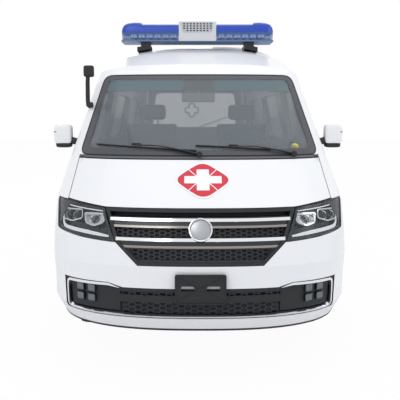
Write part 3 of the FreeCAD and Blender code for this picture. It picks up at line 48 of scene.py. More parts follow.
# The body's own skin, the same as the solids follow. Levels: height, front, half width, corner.
LEVELS = [
    (0.270, 0.110, 0.8650, 0.550),
    (0.400, 0.020, 0.9000, 0.550),
    (0.550, 0.020, 0.9030, 0.550),
    (0.670, 0.000, 0.9050, 0.550),
    (0.800, 0.030, 0.9050, 0.550),
    (0.980, 0.100, 0.9000, 0.550),
    (1.100, 0.293, 0.8900, 0.508),
    (1.235, 0.510, 0.8765, 0.452),
    (1.800, 1.155, 0.7500, 0.200),
    (2.250, 1.669, 0.6490, 0.165),
]
NOSE_POWER = 2.5
METRE_MM = 1000
TURN_STEP = 0.2
SLOPE_STEP = 0.004


def level_at(z):
    """Front, half width and corner depth of the body at a height."""
    z = min(max(z, LEVELS[0][0]), LEVELS[-1][0])
    for low, high in zip(LEVELS, LEVELS[1:]):
        if z <= high[0]:
            share = (z - low[0]) / (high[0] - low[0])
            return [low[i] + (high[i] - low[i]) * share for i in (1, 2, 3)]
    return LEVELS[-1][1:]


def nose_bare(turn, z):
    """Point of the nose at a turn about the body's corner, 0 in the middle and 90 at the side."""
    front, half, depth = level_at(z)
    angle = math.radians(turn)
    across = math.copysign(abs(math.sin(angle)) ** (2 / NOSE_POWER), angle)
    back = 1 - abs(math.cos(angle)) ** (2 / NOSE_POWER)
    return Vector((half * across, BUMPER_Y + front + depth * back, z))


def nose(turn, z, lift=0.0):
    """Point of the nose, moved out of the skin by lift."""
    point = nose_bare(turn, z)
    if not lift:
        return point
    across = nose_bare(turn + TURN_STEP, z) - nose_bare(turn - TURN_STEP, z)
    up = nose_bare(turn, z + SLOPE_STEP) - nose_bare(turn, z - SLOPE_STEP)
    return point + across.cross(up).normalized() * lift


def turn_of(x, z):
    """The turn at which the nose is x from the middle."""
    share = min(abs(x) / level_at(z)[1], 1.0)
    return math.copysign(math.degrees(math.asin(share ** (NOSE_POWER / 2))), x)


def nose_at(x, z, lift=0.0):
    return nose(turn_of(x, z), z, lift)


def side_at(y, z, lift=0.0):
    """Point of the left side at y, where the side runs straight."""
    half = level_at(z)[1]
    slope = level_at(z + SLOPE_STEP)[1] - level_at(z - SLOPE_STEP)[1]
    normal = Vector((2 * SLOPE_STEP, 0.0, -slope)).normalized()
    return Vector((half, y, z)) + normal * lift


# Colours and materials


def linear(hex_colour):
    """Linear colour of an sRGB hex code."""
    values = [int(hex_colour[i:i + 2], 16) / 255 for i in (1, 3, 5)]
    return [value / 12.92 if value <= 0.04045 else ((value + 0.055) / 1.055) ** 2.4 for value in values]


def add_node(tree, kind, **inputs):
    """Adds a shader node and fills the inputs named by their labels with _ for a space."""
    made = tree.nodes.new(kind)
    for name, value in inputs.items():
        made.inputs[name.replace("_", " ")].default_value = value
    return made


def join(tree, *pairs):
    """Links each output to the input named beside it."""
    for source, target in pairs:
        tree.links.new(source, target)


COAT_ROUGHNESS = 0.04
LEAST_ROUGHNESS = 0.02
GRAIN_DEPTH = 0.001


def material(name, colour, roughness, metallic=0.0, coat=0.0, grain=0.0, grain_mm=2.5, variation=0.0,
        cloud_mm=170.0, alpha=1.0, emission=0.0, sheen=0.0, rough_spread=0.0):
    """A finish: its colour in clouds of cloud_mm, a grain of grain_mm as bump, and uneven gloss."""
    made = bpy.data.materials.new(name)
    made.use_nodes = True
    tree = made.node_tree
    shader = tree.nodes["Principled BSDF"]
    base = linear(colour)
    values = {"Base Color": (*base, 1), "Roughness": roughness, "Metallic": metallic,
        "Coat Weight": coat, "Coat Roughness": COAT_ROUGHNESS, "Alpha": alpha, "Sheen Weight": sheen}
    if emission:
        values.update({"Emission Color": (*base, 1), "Emission Strength": emission})
    for label, value in values.items():
        shader.inputs[label].default_value = value
    place = add_node(tree, "ShaderNodeTexCoord")
    if variation or rough_spread:
        cloud = add_node(tree, "ShaderNodeTexNoise", Scale=METRE_MM / cloud_mm, Detail=6.0)
        join(tree, (place.outputs["Object"], cloud.inputs["Vector"]))
    if variation:
        mix = add_node(tree, "ShaderNodeMix")
        mix.data_type = "RGBA"
        mix.inputs[6].default_value = (*[value * (1 - variation) for value in base], 1)
        mix.inputs[7].default_value = (*[min(1.0, value * (1 + variation)) for value in base], 1)
        join(tree, (cloud.outputs["Fac"], mix.inputs[0]), (mix.outputs[2], shader.inputs["Base Color"]))
    if rough_spread:
        least = max(LEAST_ROUGHNESS, roughness - rough_spread)
        spread = add_node(tree, "ShaderNodeMapRange", To_Min=least, To_Max=roughness + rough_spread)
        join(tree, (cloud.outputs["Fac"], spread.inputs["Value"]),
             (spread.outputs["Result"], shader.inputs["Roughness"]))
    if grain:
        noise = add_node(tree, "ShaderNodeTexNoise", Scale=METRE_MM / grain_mm, Detail=3.0)
        bump = add_node(tree, "ShaderNodeBump", Strength=grain, Distance=GRAIN_DEPTH)
        join(tree, (place.outputs["Object"], noise.inputs["Vector"]),
             (noise.outputs["Fac"], bump.inputs["Height"]),
             (bump.outputs["Normal"], shader.inputs["Normal"]))
    return made


# Paint: wide soft highlights with a faint ripple on the panels, dull and patchy under the body
PAINT = material("gloss white paint", "#EDEEEF", 0.34, coat=0.35, variation=0.012, cloud_mm=714,
    grain=0.03, grain_mm=1.11, rough_spread=0.05)
UNDERSIDE = material("grey underbody paint", "#5B5E61", 0.62, variation=0.12, grain=0.25, grain_mm=6.25)
# Glass: the screen shows the seats, the side panes are nearly black, the border is opaque
SCREEN = material("windscreen glass", "#7C858B", 0.03, alpha=0.42)
SIDE_GLASS = material("tinted side glass", "#2E3438", 0.04, alpha=0.72)
FRIT = material("black glass border", "#42434A", 0.45, variation=0.05)
SHADE_BAND = material("green shade band", "#1C666B", 0.10, alpha=0.90)
# Plastics and rubber: a fine moulded grain scatters the light, gloss ones show streaks
BLACK_PLASTIC = material("black moulded plastic", "#14171B", 0.58, grain=0.35, grain_mm=1.43,
    variation=0.10)
GLOSS_BLACK = material("gloss black plastic", "#15181E", 0.22, coat=0.15, variation=0.06)
NET_BLACK = material("matt black net", "#23292E", 0.55, variation=0.08)
GREY_PLASTIC = material("grey moulded plastic", "#B9BCBD", 0.42, grain=0.25, grain_mm=1.67,
    variation=0.05)
RUBBER = material("black rubber seal", "#101113", 0.72, grain=0.3, grain_mm=2.0)
# Metals: chrome mirrors all round it, painted and bare steel spread their highlights unevenly
CHROME = material("polished chrome", "#E6E8EA", 0.07, metallic=1.0, rough_spread=0.03, cloud_mm=33)
DARK_CHROME = material("smoked chrome", "#97928F", 0.16, metallic=1.0, rough_spread=0.05, cloud_mm=33)
SATIN_METAL = material("silver painted steel", "#A9ACB0", 0.34, metallic=0.85, coat=0.3, grain=0.1,
    grain_mm=2.0, rough_spread=0.06)
STEEL = material("bare steel", "#7D7F82", 0.42, metallic=1.0, grain=0.2, grain_mm=3.33, variation=0.12,
    rough_spread=0.12)
DARK_STEEL = material("black painted steel", "#1C1D1F", 0.48, grain=0.2, grain_mm=4.0, variation=0.2,
    rough_spread=0.1)
CAST_IRON = material("cast iron", "#4A4A4B", 0.70, metallic=0.5, grain=0.7, grain_mm=4.55,
    variation=0.2)
# Rubber of the tyres: dull and dusty, darker in patches
TYRE = material("tyre rubber", "#1B1B1C", 0.78, grain=0.45, grain_mm=2.38, variation=0.15, cloud_mm=83)
# Lamps: clear covers and lenses over bright reflectors, coloured lenses with cloudy depth
CLEAR = material("clear lamp cover", "#5E656B", 0.03, alpha=0.14)
FOG_COVER = material("grey lamp cover", "#767C83", 0.18, alpha=0.72)
LENS = material("lamp lens", "#C9D2DA", 0.04, alpha=0.55, coat=1.0)
REFLECTOR = material("lamp reflector", "#D5D8DC", 0.12, metallic=1.0, grain=0.15, grain_mm=4.17)
WHITE_LIGHT = material("white light guide", "#F1F4F8", 0.25, emission=0.25)
SMOKED = material("smoked lamp cover", "#2B2F34", 0.08, alpha=0.50, coat=0.6)
REAR_GLASS = material("clear rear glass", "#7C868A", 0.04, alpha=0.30)
RED_LENS = material("red lamp lens", "#8E0F12", 0.12, coat=0.8, variation=0.15, cloud_mm=17)
AMBER_LENS = material("amber lamp lens", "#C8650F", 0.14, coat=0.6, variation=0.1, cloud_mm=17)
BLUE_LENS = material("blue translucent lens", "#1D47B4", 0.30, coat=0.0, alpha=0.95, variation=0.06,
    cloud_mm=200)
BAR_CLEAR = material("clear bar lens", "#4C71B4", 0.08, alpha=0.62, coat=0.2)
# Inside: woven cloth with a soft edge light, smooth vinyl, grained dashboard
CLOTH = material("dark seat cloth", "#3C4148", 0.92, grain=0.9, grain_mm=0.71, variation=0.18,
    cloud_mm=5, sheen=0.3)
VINYL = material("wipe clean blue vinyl", "#3F5876", 0.48, grain=0.5, grain_mm=1.92, variation=0.08,
    coat=0.1)
DASH = material("soft grey dashboard", "#4B4F54", 0.66, grain=0.6, grain_mm=1.61, variation=0.06)
# Films and small plastic pieces: flat even colour with little shine
RED_VINYL = material("red sign film", "#D3233A", 0.55, variation=0.04, cloud_mm=111)
WHITE_VINYL = material("white sign film", "#F4F4F4", 0.36, coat=0.3, variation=0.02)
GREY_VINYL = material("grey sign film", "#747B80", 0.5, variation=0.06)
YELLOW_DISC = material("yellow plastic", "#D9C93E", 0.35, variation=0.08)
BLUE_DISC = material("dark blue plastic", "#23367C", 0.35, variation=0.08)
BAR_BASE = material("blue grey plastic base", "#56739F", 0.40, variation=0.05)
SPEAKER_WHITE = material("white speaker housing", "#D3D6D9", 0.5, variation=0.04)

SHARP = 30


def from_bmesh(name, made, finish, body, angle):
    """A piece on the body that carries it, with every edge over the angle kept sharp."""
    bmesh.ops.recalc_face_normals(made, faces=made.faces)
    mesh = bpy.data.meshes.new(name)
    made.to_mesh(mesh)
    made.free()
    made = bmesh.new()
    made.from_mesh(mesh)
    limit = math.radians(angle)
    for edge in made.edges:
        edge.smooth = len(edge.link_faces) == 2 and edge.calc_face_angle(math.pi) < limit
    for face in made.faces:
        face.smooth = True
    made.to_mesh(mesh)
    made.free()
    mesh.materials.append(finish)
    piece = bpy.data.objects.new(name, mesh)
    bpy.context.scene.collection.objects.link(piece)
    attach(piece, body)
    return piece


def merged(name, parts, finish, body="body", angle=SHARP):
    """One piece from several lists of (points, faces)."""
    points = []
    faces = []
    for part_points, part_faces in parts:
        start = len(points)
        points.extend(part_points)
        faces.extend([[start + i for i in face] for face in part_faces])
    mesh = bpy.data.meshes.new(name)
    mesh.from_pydata(points, [], faces)
    made = bmesh.new()
    made.from_mesh(mesh)
    bpy.data.meshes.remove(mesh)
    return from_bmesh(name, made, finish, body, angle)


# Sheets that follow a skin: an outline with holes, cut along a grid and laid on


def sheet(loops, place, outer, inner, cell):
    """Points and faces of a sheet with holes, from lift inner to lift outer over the skin."""
    flat = [[Vector((a, b, 0)) for a, b in loop] for loop in loops]
    triangles = tessellate_polygon(flat)
    corners = [point for loop in flat for point in loop]
    made = bmesh.new()
    verts = [made.verts.new(point) for point in corners]
    for triangle in triangles:
        try:
            made.faces.new([verts[i] for i in triangle])
        except ValueError:
            continue
    for axis in (0, 1):
        low = min(point[axis] for point in corners)
        high = max(point[axis] for point in corners)
        count = max(1, math.ceil((high - low) / cell[axis]))
        for step in range(1, count):
            spot = Vector((0, 0, 0))
            spot[axis] = low + (high - low) * step / count
            normal = Vector((0, 0, 0))
            normal[axis] = 1
            bmesh.ops.bisect_plane(made, geom=made.verts[:] + made.edges[:] + made.faces[:],
                plane_co=spot, plane_no=normal)
    bmesh.ops.remove_doubles(made, verts=made.verts[:], dist=1e-6)
    bmesh.ops.dissolve_limit(made, angle_limit=0.001, verts=[], edges=[])
    made.verts.index_update()
    count = len(made.verts)
    low_points = [place(vert.co.x, vert.co.y, inner) for vert in made.verts]
    high_points = [place(vert.co.x, vert.co.y, outer) for vert in made.verts]
    faces = []
    for face in made.faces:
        ring = [vert.index for vert in face.verts]
        faces.append([count + i for i in ring])
        faces.append(ring[::-1])
    for edge in made.edges:
        if len(edge.link_faces) == 1:
            a, b = (vert.index for vert in edge.verts)
            faces.append([a, b, count + b, count + a])
    made.free()
    return low_points + high_points, faces


NOSE_CELL = (3.0, 0.05)
SIDE_CELL = (0.2, 0.08)


def nose_sheet(loops, outer, inner, cell=NOSE_CELL):
    """A sheet on the nose from loops of (x, z)."""
    turned = [[(turn_of(x, z), z) for x, z in loop] for loop in loops]
    return sheet(turned, nose, outer, inner, cell)


def side_sheet(loops, outer, inner):
    return sheet(loops, side_at, outer, inner, SIDE_CELL)


def mirror_part(part):
    """The same part on the other side."""
    points, faces = part
    return [Vector((-point[0], point[1], point[2])) for point in points], [face[::-1] for face in faces]


def both_sides(parts):
    return parts + [mirror_part(part) for part in parts]


def rect(x0, z0, x1, z1):
    """Loop of a rectangle between two corners."""
    return [(x0, z0), (x1, z0), (x1, z1), (x0, z1)]


def even(low_half, low, high_half, high):
    """Loop of a shape that is the same on both sides, with half its width below and above."""
    return [(-low_half, low), (low_half, low), (high_half, high), (-high_half, high)]


def circle(x, z, radius, tall, count):
    """Loop of a circle, or of an oval where tall isn't the radius."""
    turns = [math.tau * i / count for i in range(count)]
    return [(x + radius * math.cos(turn), z + tall * math.sin(turn)) for turn in turns]


MITRE_LIMIT = 0.35
CORNER_SHARE = 0.45


def inset(loop, distance):
    """A loop moved inwards by a distance; the loop runs either way round."""
    area = sum(a[0] * b[1] - b[0] * a[1] for a, b in zip(loop, loop[1:] + loop[:1]))
    sign = 1 if area > 0 else -1
    moved = []
    for before, spot, after in zip(loop[-1:] + loop[:-1], loop, loop[1:] + loop[:1]):
        into = (Vector(spot) - Vector(before)).normalized()
        away = (Vector(after) - Vector(spot)).normalized()
        normal_in = Vector((-into.y, into.x)) * sign
        normal_out = Vector((-away.y, away.x)) * sign
        middle = (normal_in + normal_out).normalized()
        moved.append(tuple(Vector(spot) + middle * (distance / max(MITRE_LIMIT, middle.dot(normal_in)))))
    return moved


def rounded(loop, radius, steps=5):
    """A loop with each corner turned by an arc-like curve."""
    made = []
    for before, spot, after in zip(loop[-1:] + loop[:-1], loop, loop[1:] + loop[:1]):
        spot = Vector(spot)
        back = Vector(before) - spot
        ahead = Vector(after) - spot
        reach = min(radius, CORNER_SHARE * back.length, CORNER_SHARE * ahead.length)
        start = spot + back.normalized() * reach
        end = spot + ahead.normalized() * reach
        for step in range(steps + 1):
            share = step / steps
            made.append(tuple(start * (1 - share) ** 2 + spot * 2 * share * (1 - share)
                + end * share ** 2))
    return made


def strip_loop(points, widths):
    """A closed band round a line of points, of one width or of one for each point."""
    if not isinstance(widths, list):
        widths = [widths] * len(points)
    left = []
    right = []
    for index, (spot, width) in enumerate(zip(points, widths)):
        before = Vector(points[max(0, index - 1)])
        after = Vector(points[min(len(points) - 1, index + 1)])
        along = (after - before).normalized()
        normal = Vector((-along.y, along.x)) * width / 2
        left.append(tuple(Vector(spot) + normal))
        right.append(tuple(Vector(spot) - normal))
    return left + right[::-1]


def fine_loop(points, step=0.06):
    """The same loop with points along its long edges, so that it follows the skin."""
    made = []
    for (x0, z0), (x1, z1) in zip(points, points[1:] + points[:1]):
        count = max(1, math.ceil(math.hypot(x1 - x0, z1 - z0) / step))
        made += [(x0 + (x1 - x0) * i / count, z0 + (z1 - z0) * i / count) for i in range(count)]
    return made


# Solid forms


def capped(points, count):
    """A part from points in rings of count, joined ring to ring and closed at both ends."""
    last = len(points) - count
    faces = []
    for start in range(0, last, count):
        for step in range(count):
            a = start + step
            b = start + (step + 1) % count
            faces.append([a, b, b + count, a + count])
    faces.append(list(range(count))[::-1])
    faces.append([last + step for step in range(count)])
    return points, faces


def turned_faces(count, steps, closed=False):
    """Faces round an axis for a profile of count points at each of the steps."""
    faces = []
    for step in range(steps):
        here = step * count
        there = (step + 1) % steps * count
        for index in range(count if closed else count - 1):
            after = (index + 1) % count
            faces.append([here + index, here + after, there + after, there + index])
    return faces


def tube_part(points, radius, sides=10, squash=1.0):
    """Points and faces of a round bar through points; radius is one size or one for each point."""
    radii = radius if isinstance(radius, (list, tuple)) else [radius] * len(points)
    points = [Vector(point) for point in points]
    made = []
    side = None
    for index, point in enumerate(points):
        along = (points[min(len(points) - 1, index + 1)] - points[max(0, index - 1)]).normalized()
        if side is None:
            side = along.cross(Vector((0, 0, 1)))
            side = side.normalized() if side.length > 1e-4 else Vector((1, 0, 0))
        side = (side - along * side.dot(along)).normalized()
        up = along.cross(side)
        for step in range(sides):
            angle = math.tau * step / sides
            made.append(point + (side * math.cos(angle) + up * math.sin(angle) * squash) * radii[index])
    return capped(made, sides)


def box_part(low, high, bevel=0.0, steps=2):
    """Points and faces of a box with softened edges."""
    made = bmesh.new()
    size = Vector(high) - Vector(low)
    bmesh.ops.create_cube(made, size=1.0)
    for vert in made.verts:
        vert.co = Vector(low) + Vector([(vert.co[i] + 0.5) * size[i] for i in range(3)])
    if bevel:
        bmesh.ops.bevel(made, geom=made.edges[:], offset=bevel, segments=steps, profile=0.6,
            affect="EDGES", clamp_overlap=True)
    made.verts.index_update()
    part = ([vert.co.copy() for vert in made.verts], [[v.index for v in f.verts] for f in made.faces])
    made.free()
    return part


def lathe_part(profile, centre, axis="x", steps=64):
    """Points and faces of a ring turned about an axis through centre, from (along, radius)."""
    made = []
    for step in range(steps):
        angle = math.tau * step / steps
        for along, radius in profile:
            a, b = radius * math.cos(angle), radius * math.sin(angle)
            offset = {"x": (along, a, b), "y": (a, along, b), "z": (a, b, along)}[axis]
            made.append(Vector(centre) + Vector(offset))
    return made, turned_faces(len(profile), steps)


def moved_part(part, matrix):
    points, faces = part
    return [matrix @ Vector(point) for point in points], faces


# What repeats: one small part set on many spots by Geometry Nodes


def repeating_tree():
    """Node group that sets a part on every point, turned as the point's turn attribute says."""
    tree = bpy.data.node_groups.new("repeated part", "GeometryNodeTree")
    face = tree.interface
    face.new_socket("Geometry", in_out="OUTPUT", socket_type="NodeSocketGeometry")
    for label, kind in (("Points", "Geometry"), ("Part", "Object"), ("Size", "Float"),
                        ("Finish", "Material")):
        face.new_socket(label, in_out="INPUT", socket_type=f"NodeSocket{kind}")
    entry = add_node(tree, "NodeGroupInput")
    turn = add_node(tree, "GeometryNodeInputNamedAttribute", Name="turn")
    turn.data_type = "FLOAT_VECTOR"
    angles = add_node(tree, "FunctionNodeEulerToRotation")
    shape = add_node(tree, "GeometryNodeObjectInfo")
    copies = add_node(tree, "GeometryNodeInstanceOnPoints")
    real = add_node(tree, "GeometryNodeRealizeInstances")
    coat = add_node(tree, "GeometryNodeSetMaterial")
    leave = add_node(tree, "NodeGroupOutput")
    join(
        tree,
        (entry.outputs["Points"], copies.inputs["Points"]),
        (entry.outputs["Part"], shape.inputs["Object"]),
        (entry.outputs["Size"], copies.inputs["Scale"]),
        (entry.outputs["Finish"], coat.inputs["Material"]),
        (turn.outputs["Attribute"], angles.inputs["Euler"]),
        (angles.outputs["Rotation"], copies.inputs["Rotation"]),
        (shape.outputs["Geometry"], copies.inputs["Instance"]),
        (copies.outputs["Instances"], real.inputs["Geometry"]),
        (real.outputs["Geometry"], coat.inputs["Geometry"]),
        (coat.outputs["Geometry"], leave.inputs["Geometry"]))
    return tree


REPEATED = repeating_tree()
FORWARD = Vector((0, -1, 0))


def repeated(name, part, spots, finish, body, angle=SHARP, size=1.0):
    """A piece with one copy of part at each spot, a pair of place and facing direction."""
    single = bpy.data.meshes.new(name + "_part")
    single.from_pydata(part[0], [], part[1])
    pattern = bpy.data.objects.new(name + "_part", single)
    points = bpy.data.meshes.new(name + "_points")
    points.from_pydata([spot for spot, _ in spots], [], [])
    turns = points.attributes.new("turn", "FLOAT_VECTOR", "POINT")
    for item, (_, facing) in zip(turns.data, spots):
        item.vector = FORWARD.rotation_difference(facing).to_euler()
    carrier = bpy.data.objects.new(name + "_points", points)
    for item in (pattern, carrier):
        bpy.context.scene.collection.objects.link(item)
    modifier = carrier.modifiers.new("repeat", "NODES")
    modifier.node_group = REPEATED
    values = {"Part": pattern, "Size": size, "Finish": finish}
    for socket in REPEATED.interface.items_tree:
        if socket.name in values:
            modifier[socket.identifier] = values[socket.name]
    graph = bpy.context.evaluated_depsgraph_get()
    mesh = bpy.data.meshes.new_from_object(carrier.evaluated_get(graph))
    carrier.modifiers.clear()
    for item in (pattern, carrier):
        bpy.data.objects.remove(item)
    mesh.materials.clear()
    made = bmesh.new()
    made.from_mesh(mesh)
    bpy.data.meshes.remove(mesh)
    return from_bmesh(name, made, finish, body, angle)


def facing_at(x, z):
    """The way the nose faces at a place."""
    return (nose_at(x, z, 0.01) - nose_at(x, z, 0.0)).normalized()


# The solids that stay: their finishes

NODE_FINISHES = {
    PAINT: ["side_left", "side_right", "sliding_door", "door_left", "door_right", "roof",
        "tailgate", "bonnet", "front_bumper", "mirror_left", "mirror_right"],
    SIDE_GLASS: ["side_glass", "door_glass_left", "door_glass_right"],
    REAR_GLASS: ["tailgate_glass"],
    SCREEN: ["windscreen"],
    UNDERSIDE: ["floor_pan", "bulkhead"],
    GREY_PLASTIC: ["light_bar"],
    BLACK_PLASTIC: ["rear_bumper", "lower_grille", "grille", "fuel_tank", "stalk_mirror", "wipers",
        "steering_wheel", "plate_bracket", "fog_lamps"],
    DARK_STEEL: ["front_arms", "knuckle_left", "knuckle_right", "rear_axle", "rear_springs",
        "chassis"],
    CAST_IRON: ["engine"],
    STEEL: ["exhaust"],
    TYRE: ["spare_wheel", "tyre_fl", "tyre_fr", "tyre_rl", "tyre_rr"],
    SATIN_METAL: ["rim_fl", "rim_fr", "rim_rl", "rim_rr"],
    DASH: ["dashboard"],
    RED_LENS: ["tail_lamps"],
    LENS: ["headlamps"],
    BLUE_LENS: ["beacon_lenses"],
    CLOTH: ["front_seats"],
    VINYL: ["bench"],
}
for finish, names in NODE_FINISHES.items():
    for name in names:
        mesh = nodes[name].data
        mesh.materials.clear()
        mesh.materials.append(finish)

# Headlamps: a dark housing, two framed reflectors, light guides and a clear cover

DEGREE = 0.011


def lamp_place(along, z, lift):
    """Near the lamps a turn is counted in metres along the skin."""
    return nose(along / DEGREE, z, lift)


def lamp_loop(points):
    return [(turn * DEGREE, z) for turn, z in points]


def lamp_sheet(loops, outer, inner):
    return sheet(loops, lamp_place, outer, inner, (0.022, 0.04))


def frame_sheet(loop, width, outer, inner):
    """A band that runs just inside a loop."""
    return lamp_sheet([loop, inset(loop, width)], outer, inner)


LAMP_LOOP = rounded(lamp_loop([(26.4, 0.795), (43.4, 0.8075), (67.0, 0.8315), (72.2, 0.9945), (53.0,
    0.9945), (31.7, 0.972), (31.0, 0.930)]), 0.016)
INNER_MODULE = rounded(lamp_loop([(32.0, 0.891), (37.2, 0.868), (42.5, 0.882), (43.4, 0.936), (42.0,
    0.941), (32.6, 0.944), (31.7, 0.934)]), 0.016)
OUTER_MODULE = rounded(lamp_loop([(44.3, 0.904), (52.0, 0.880), (61.0, 0.884), (61.6, 0.948), (44.5,
    0.957)]), 0.016)
GUIDE_LINE = lamp_loop([(29.6, 0.8235), (34.5, 0.8300), (40.3, 0.8365), (50.0, 0.8425), (57.5, 0.8460),
    (60.0, 0.8520), (61.6, 0.8660), (62.5, 0.9000), (63.6, 0.9440)])
GUIDE_WIDTHS = [0.010, 0.017, 0.020, 0.020, 0.019, 0.018, 0.014, 0.010, 0.005]
GUIDE_LOOP = strip_loop(GUIDE_LINE, GUIDE_WIDTHS)
BROW_LOOP = strip_loop(lamp_loop([(33.0, 0.9545), (40.0, 0.9590), (50.0, 0.9650), (63.4, 0.9725)]), 0.006)


def dome_part(centre, radius, bulge, axis="y", steps=32, rings=7):
    """A round lens that bulges forward, closed at its back."""
    profile = [(bulge * math.cos(math.pi / 2 * step / rings),
        radius * math.sin(math.pi / 2 * step / rings)) for step in range(1, rings + 1)]
    points, faces = lathe_part(profile, centre, axis, steps)
    count = len(profile)
    offset = Vector({"x": (bulge, 0, 0), "y": (0, bulge, 0), "z": (0, 0, bulge)}[axis])
    points.append(Vector(centre) + offset)
    tip = len(points) - 1
    for step in range(steps):
        faces.append([step * count, ((step + 1) % steps) * count, tip])
    faces.append([step * count + count - 1 for step in range(steps)])
    return points, faces


def lamp_pieces(side, reach):
    """All pieces of one headlamp; reach turns a left-hand part into this side's."""
    def add(name, parts, finish, angle=SHARP):
        return merged(f"headlamp_{name}_{side}", [reach(part) for part in parts], finish, "body",
            angle)

    housing = add("housing", [
        lamp_sheet([LAMP_LOOP], -0.050, -0.054),
        frame_sheet(LAMP_LOOP, 0.005, -0.0035, -0.052),
        lamp_sheet([inset(LAMP_LOOP, 0.004), inset(LAMP_LOOP, 0.016)], -0.0075, -0.012),
    ], GLOSS_BLACK)
    add("cover", [lamp_sheet([inset(LAMP_LOOP, 0.0012)], -0.0005, -0.0028)], CLEAR)
    add("frames", [frame_sheet(loop, 0.0075, -0.008, -0.026) for loop in (INNER_MODULE, OUTER_MODULE)],
        CHROME)
    for name, module, finish in (("reflectors", INNER_MODULE, REFLECTOR), ("dark_bowl", OUTER_MODULE,
            GLOSS_BLACK)):
        add(name, [lamp_sheet([inset(module, 0.007)], -0.034, -0.037), lamp_sheet([inset(module,
            0.0072), inset(module, 0.0110)], -0.016, -0.036)], finish)
    lenses = []
    rims = []
    for turn, z, radius in ((37.4, 0.908, 0.0285), (49.3, 0.919, 0.0300), (56.6, 0.917, 0.0285)):
        spot = nose(turn, z, -0.031)
        lenses.append(dome_part(spot, radius * 0.80, -0.014))
        rims.append(lathe_part([(0.004, radius), (-0.006, radius), (-0.008, radius * 0.92), (-0.006,
            radius * 0.84), (0.004, radius * 0.80), (0.004, radius)], spot, "y", 40))
    add("lenses", lenses, SMOKED, 60)
    add("rings", rims, CHROME, 40)
    add("guide", [lamp_sheet([GUIDE_LOOP], -0.010, -0.016), lamp_sheet([BROW_LOOP], -0.010, -0.014)],
        WHITE_LIGHT)
    return housing


REACH = {"left": lambda part: part, "right": mirror_part}
for side, reach in REACH.items():
    housing = lamp_pieces(side, reach)
    if side == "left":
        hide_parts("headlamps")

# Black joints round the lamps

merged("lamp_gaskets", both_sides([lamp_sheet([inset(LAMP_LOOP, -0.0022), inset(LAMP_LOOP, 0.0010)],
    0.0006, -0.006)]), RUBBER)

# Grille: chrome bars, hexagonal mesh and a plain round badge


HEX_CORNERS = ((-0.5, 0), (-0.25, 0.5), (0.25, 0.5), (0.5, 0), (0.25, -0.5), (-0.25, -0.5))
NET_DEPTH = 0.006


def hex_ring(width, height, wall):
    """One long hexagon of the net, with its wall running back."""
    points = []
    faces = []
    for share, back in ((1.0, 0.0), (1 - wall, 0.0), (1 - wall, NET_DEPTH)):
        points += [Vector((dx * width * share, back, dz * height * share)) for dx, dz in HEX_CORNERS]
    for i in range(6):
        j = (i + 1) % 6
        faces.append([i, j, 6 + j, 6 + i])
        faces.append([6 + i, 6 + j, 12 + j, 12 + i])
    return points, faces


def hex_net(name, inside, width, height, wall, lift):
    """A net of long hexagons on the nose, wherever inside says so for a cell's middle."""
    spots = []
    for row in range(int(0.25 / height), int(2.4 / height)):
        for column in range(-30, 31):
            x = (column + (0.5 if row % 2 else 0)) * 1.5 * width
            z = row * height / 2
            if inside(x, z):
                spots.append((nose_at(x, z, lift), facing_at(x, z)))
    return repeated(name, hex_ring(width, height, wall), spots, NET_BLACK, "body")


GRILLE_BEND = 0.793


def grille_half(z):
    """Half width of the grille's opening at a height."""
    if z < GRILLE_BEND:
        return 0.345 + (0.470 - 0.345) * (z - 0.674) / 0.119
    return 0.470 + (0.535 - 0.470) * (z - GRILLE_BEND) / 0.182


def straight_bar(z, half, height, outer, inner):
    """A level bar on the nose, as wide as half on each side."""
    steps = 24
    top = [(-half + 2 * half * i / steps, z + height / 2) for i in range(steps + 1)]
    low = [(x, z - height / 2) for x, _ in top]
    return nose_sheet([top + low[::-1]], outer, inner)


merged("grille_bars", [straight_bar(z, grille_half(z) - margin, 0.017, 0.002, -0.014)
                       for z, margin in ((0.9155, 0.012), (0.8130, 0.010))], CHROME, "body")
merged("grille_thin_bars", [straight_bar(z, grille_half(z) - 0.010, 0.012, -0.001, -0.014)
                            for z in (0.8800, 0.7750)], DARK_CHROME, "body")


hex_net("grille_mesh", lambda x, z: 0.676 < z < 0.905 and abs(x) < grille_half(z) - 0.008,
        0.040, 0.021, 0.22, -0.017)
merged("grille_blanks", [straight_bar(0.8950, grille_half(0.895) - 0.012, 0.022, -0.008, -0.014),
    straight_bar(0.7950, grille_half(0.795) - 0.010, 0.030, -0.008, -0.014), nose_sheet([[(0.346,
    0.682), (0.434, 0.768), (-0.434, 0.768), (-0.346, 0.682)], [(0.345, 0.706), (0.396, 0.762), (-0.396,
    0.762), (-0.345, 0.706)]], -0.010, -0.015)], GLOSS_BLACK, "body")

INTAKE_LINE = [(-0.783, 0.365), (0.783, 0.365), (0.790, 0.563), (0.515, 0.567), (0.433, 0.544), (-0.433,
    0.544), (-0.515, 0.567), (-0.790, 0.563)]

badge_spot = nose_at(0.0, 0.864, 0.006)
badge_normal = (badge_spot - nose_at(0.0, 0.864, 0.0)).normalized()
badge_turn = FORWARD.rotation_difference(badge_normal).to_matrix().to_4x4()
badge_place = Matrix.Translation(badge_spot) @ badge_turn
ring = lathe_part([(0.012, 0.058), (0.012, 0.066), (-0.004, 0.0665), (-0.009, 0.065), (-0.010, 0.062),
    (-0.007, 0.058), (0.012, 0.058)], (0, 0, 0), "y", 72)
merged("grille_badge_ring", [moved_part(ring, badge_place)], CHROME, "body")
merged("grille_badge", [moved_part(dome_part(Vector((0, 0.002, 0)), 0.0585, -0.009), badge_place)],
       SATIN_METAL, "body", 60)

# Lower intake: chrome line, black seam, hexagonal net, smooth bar and lamp squares


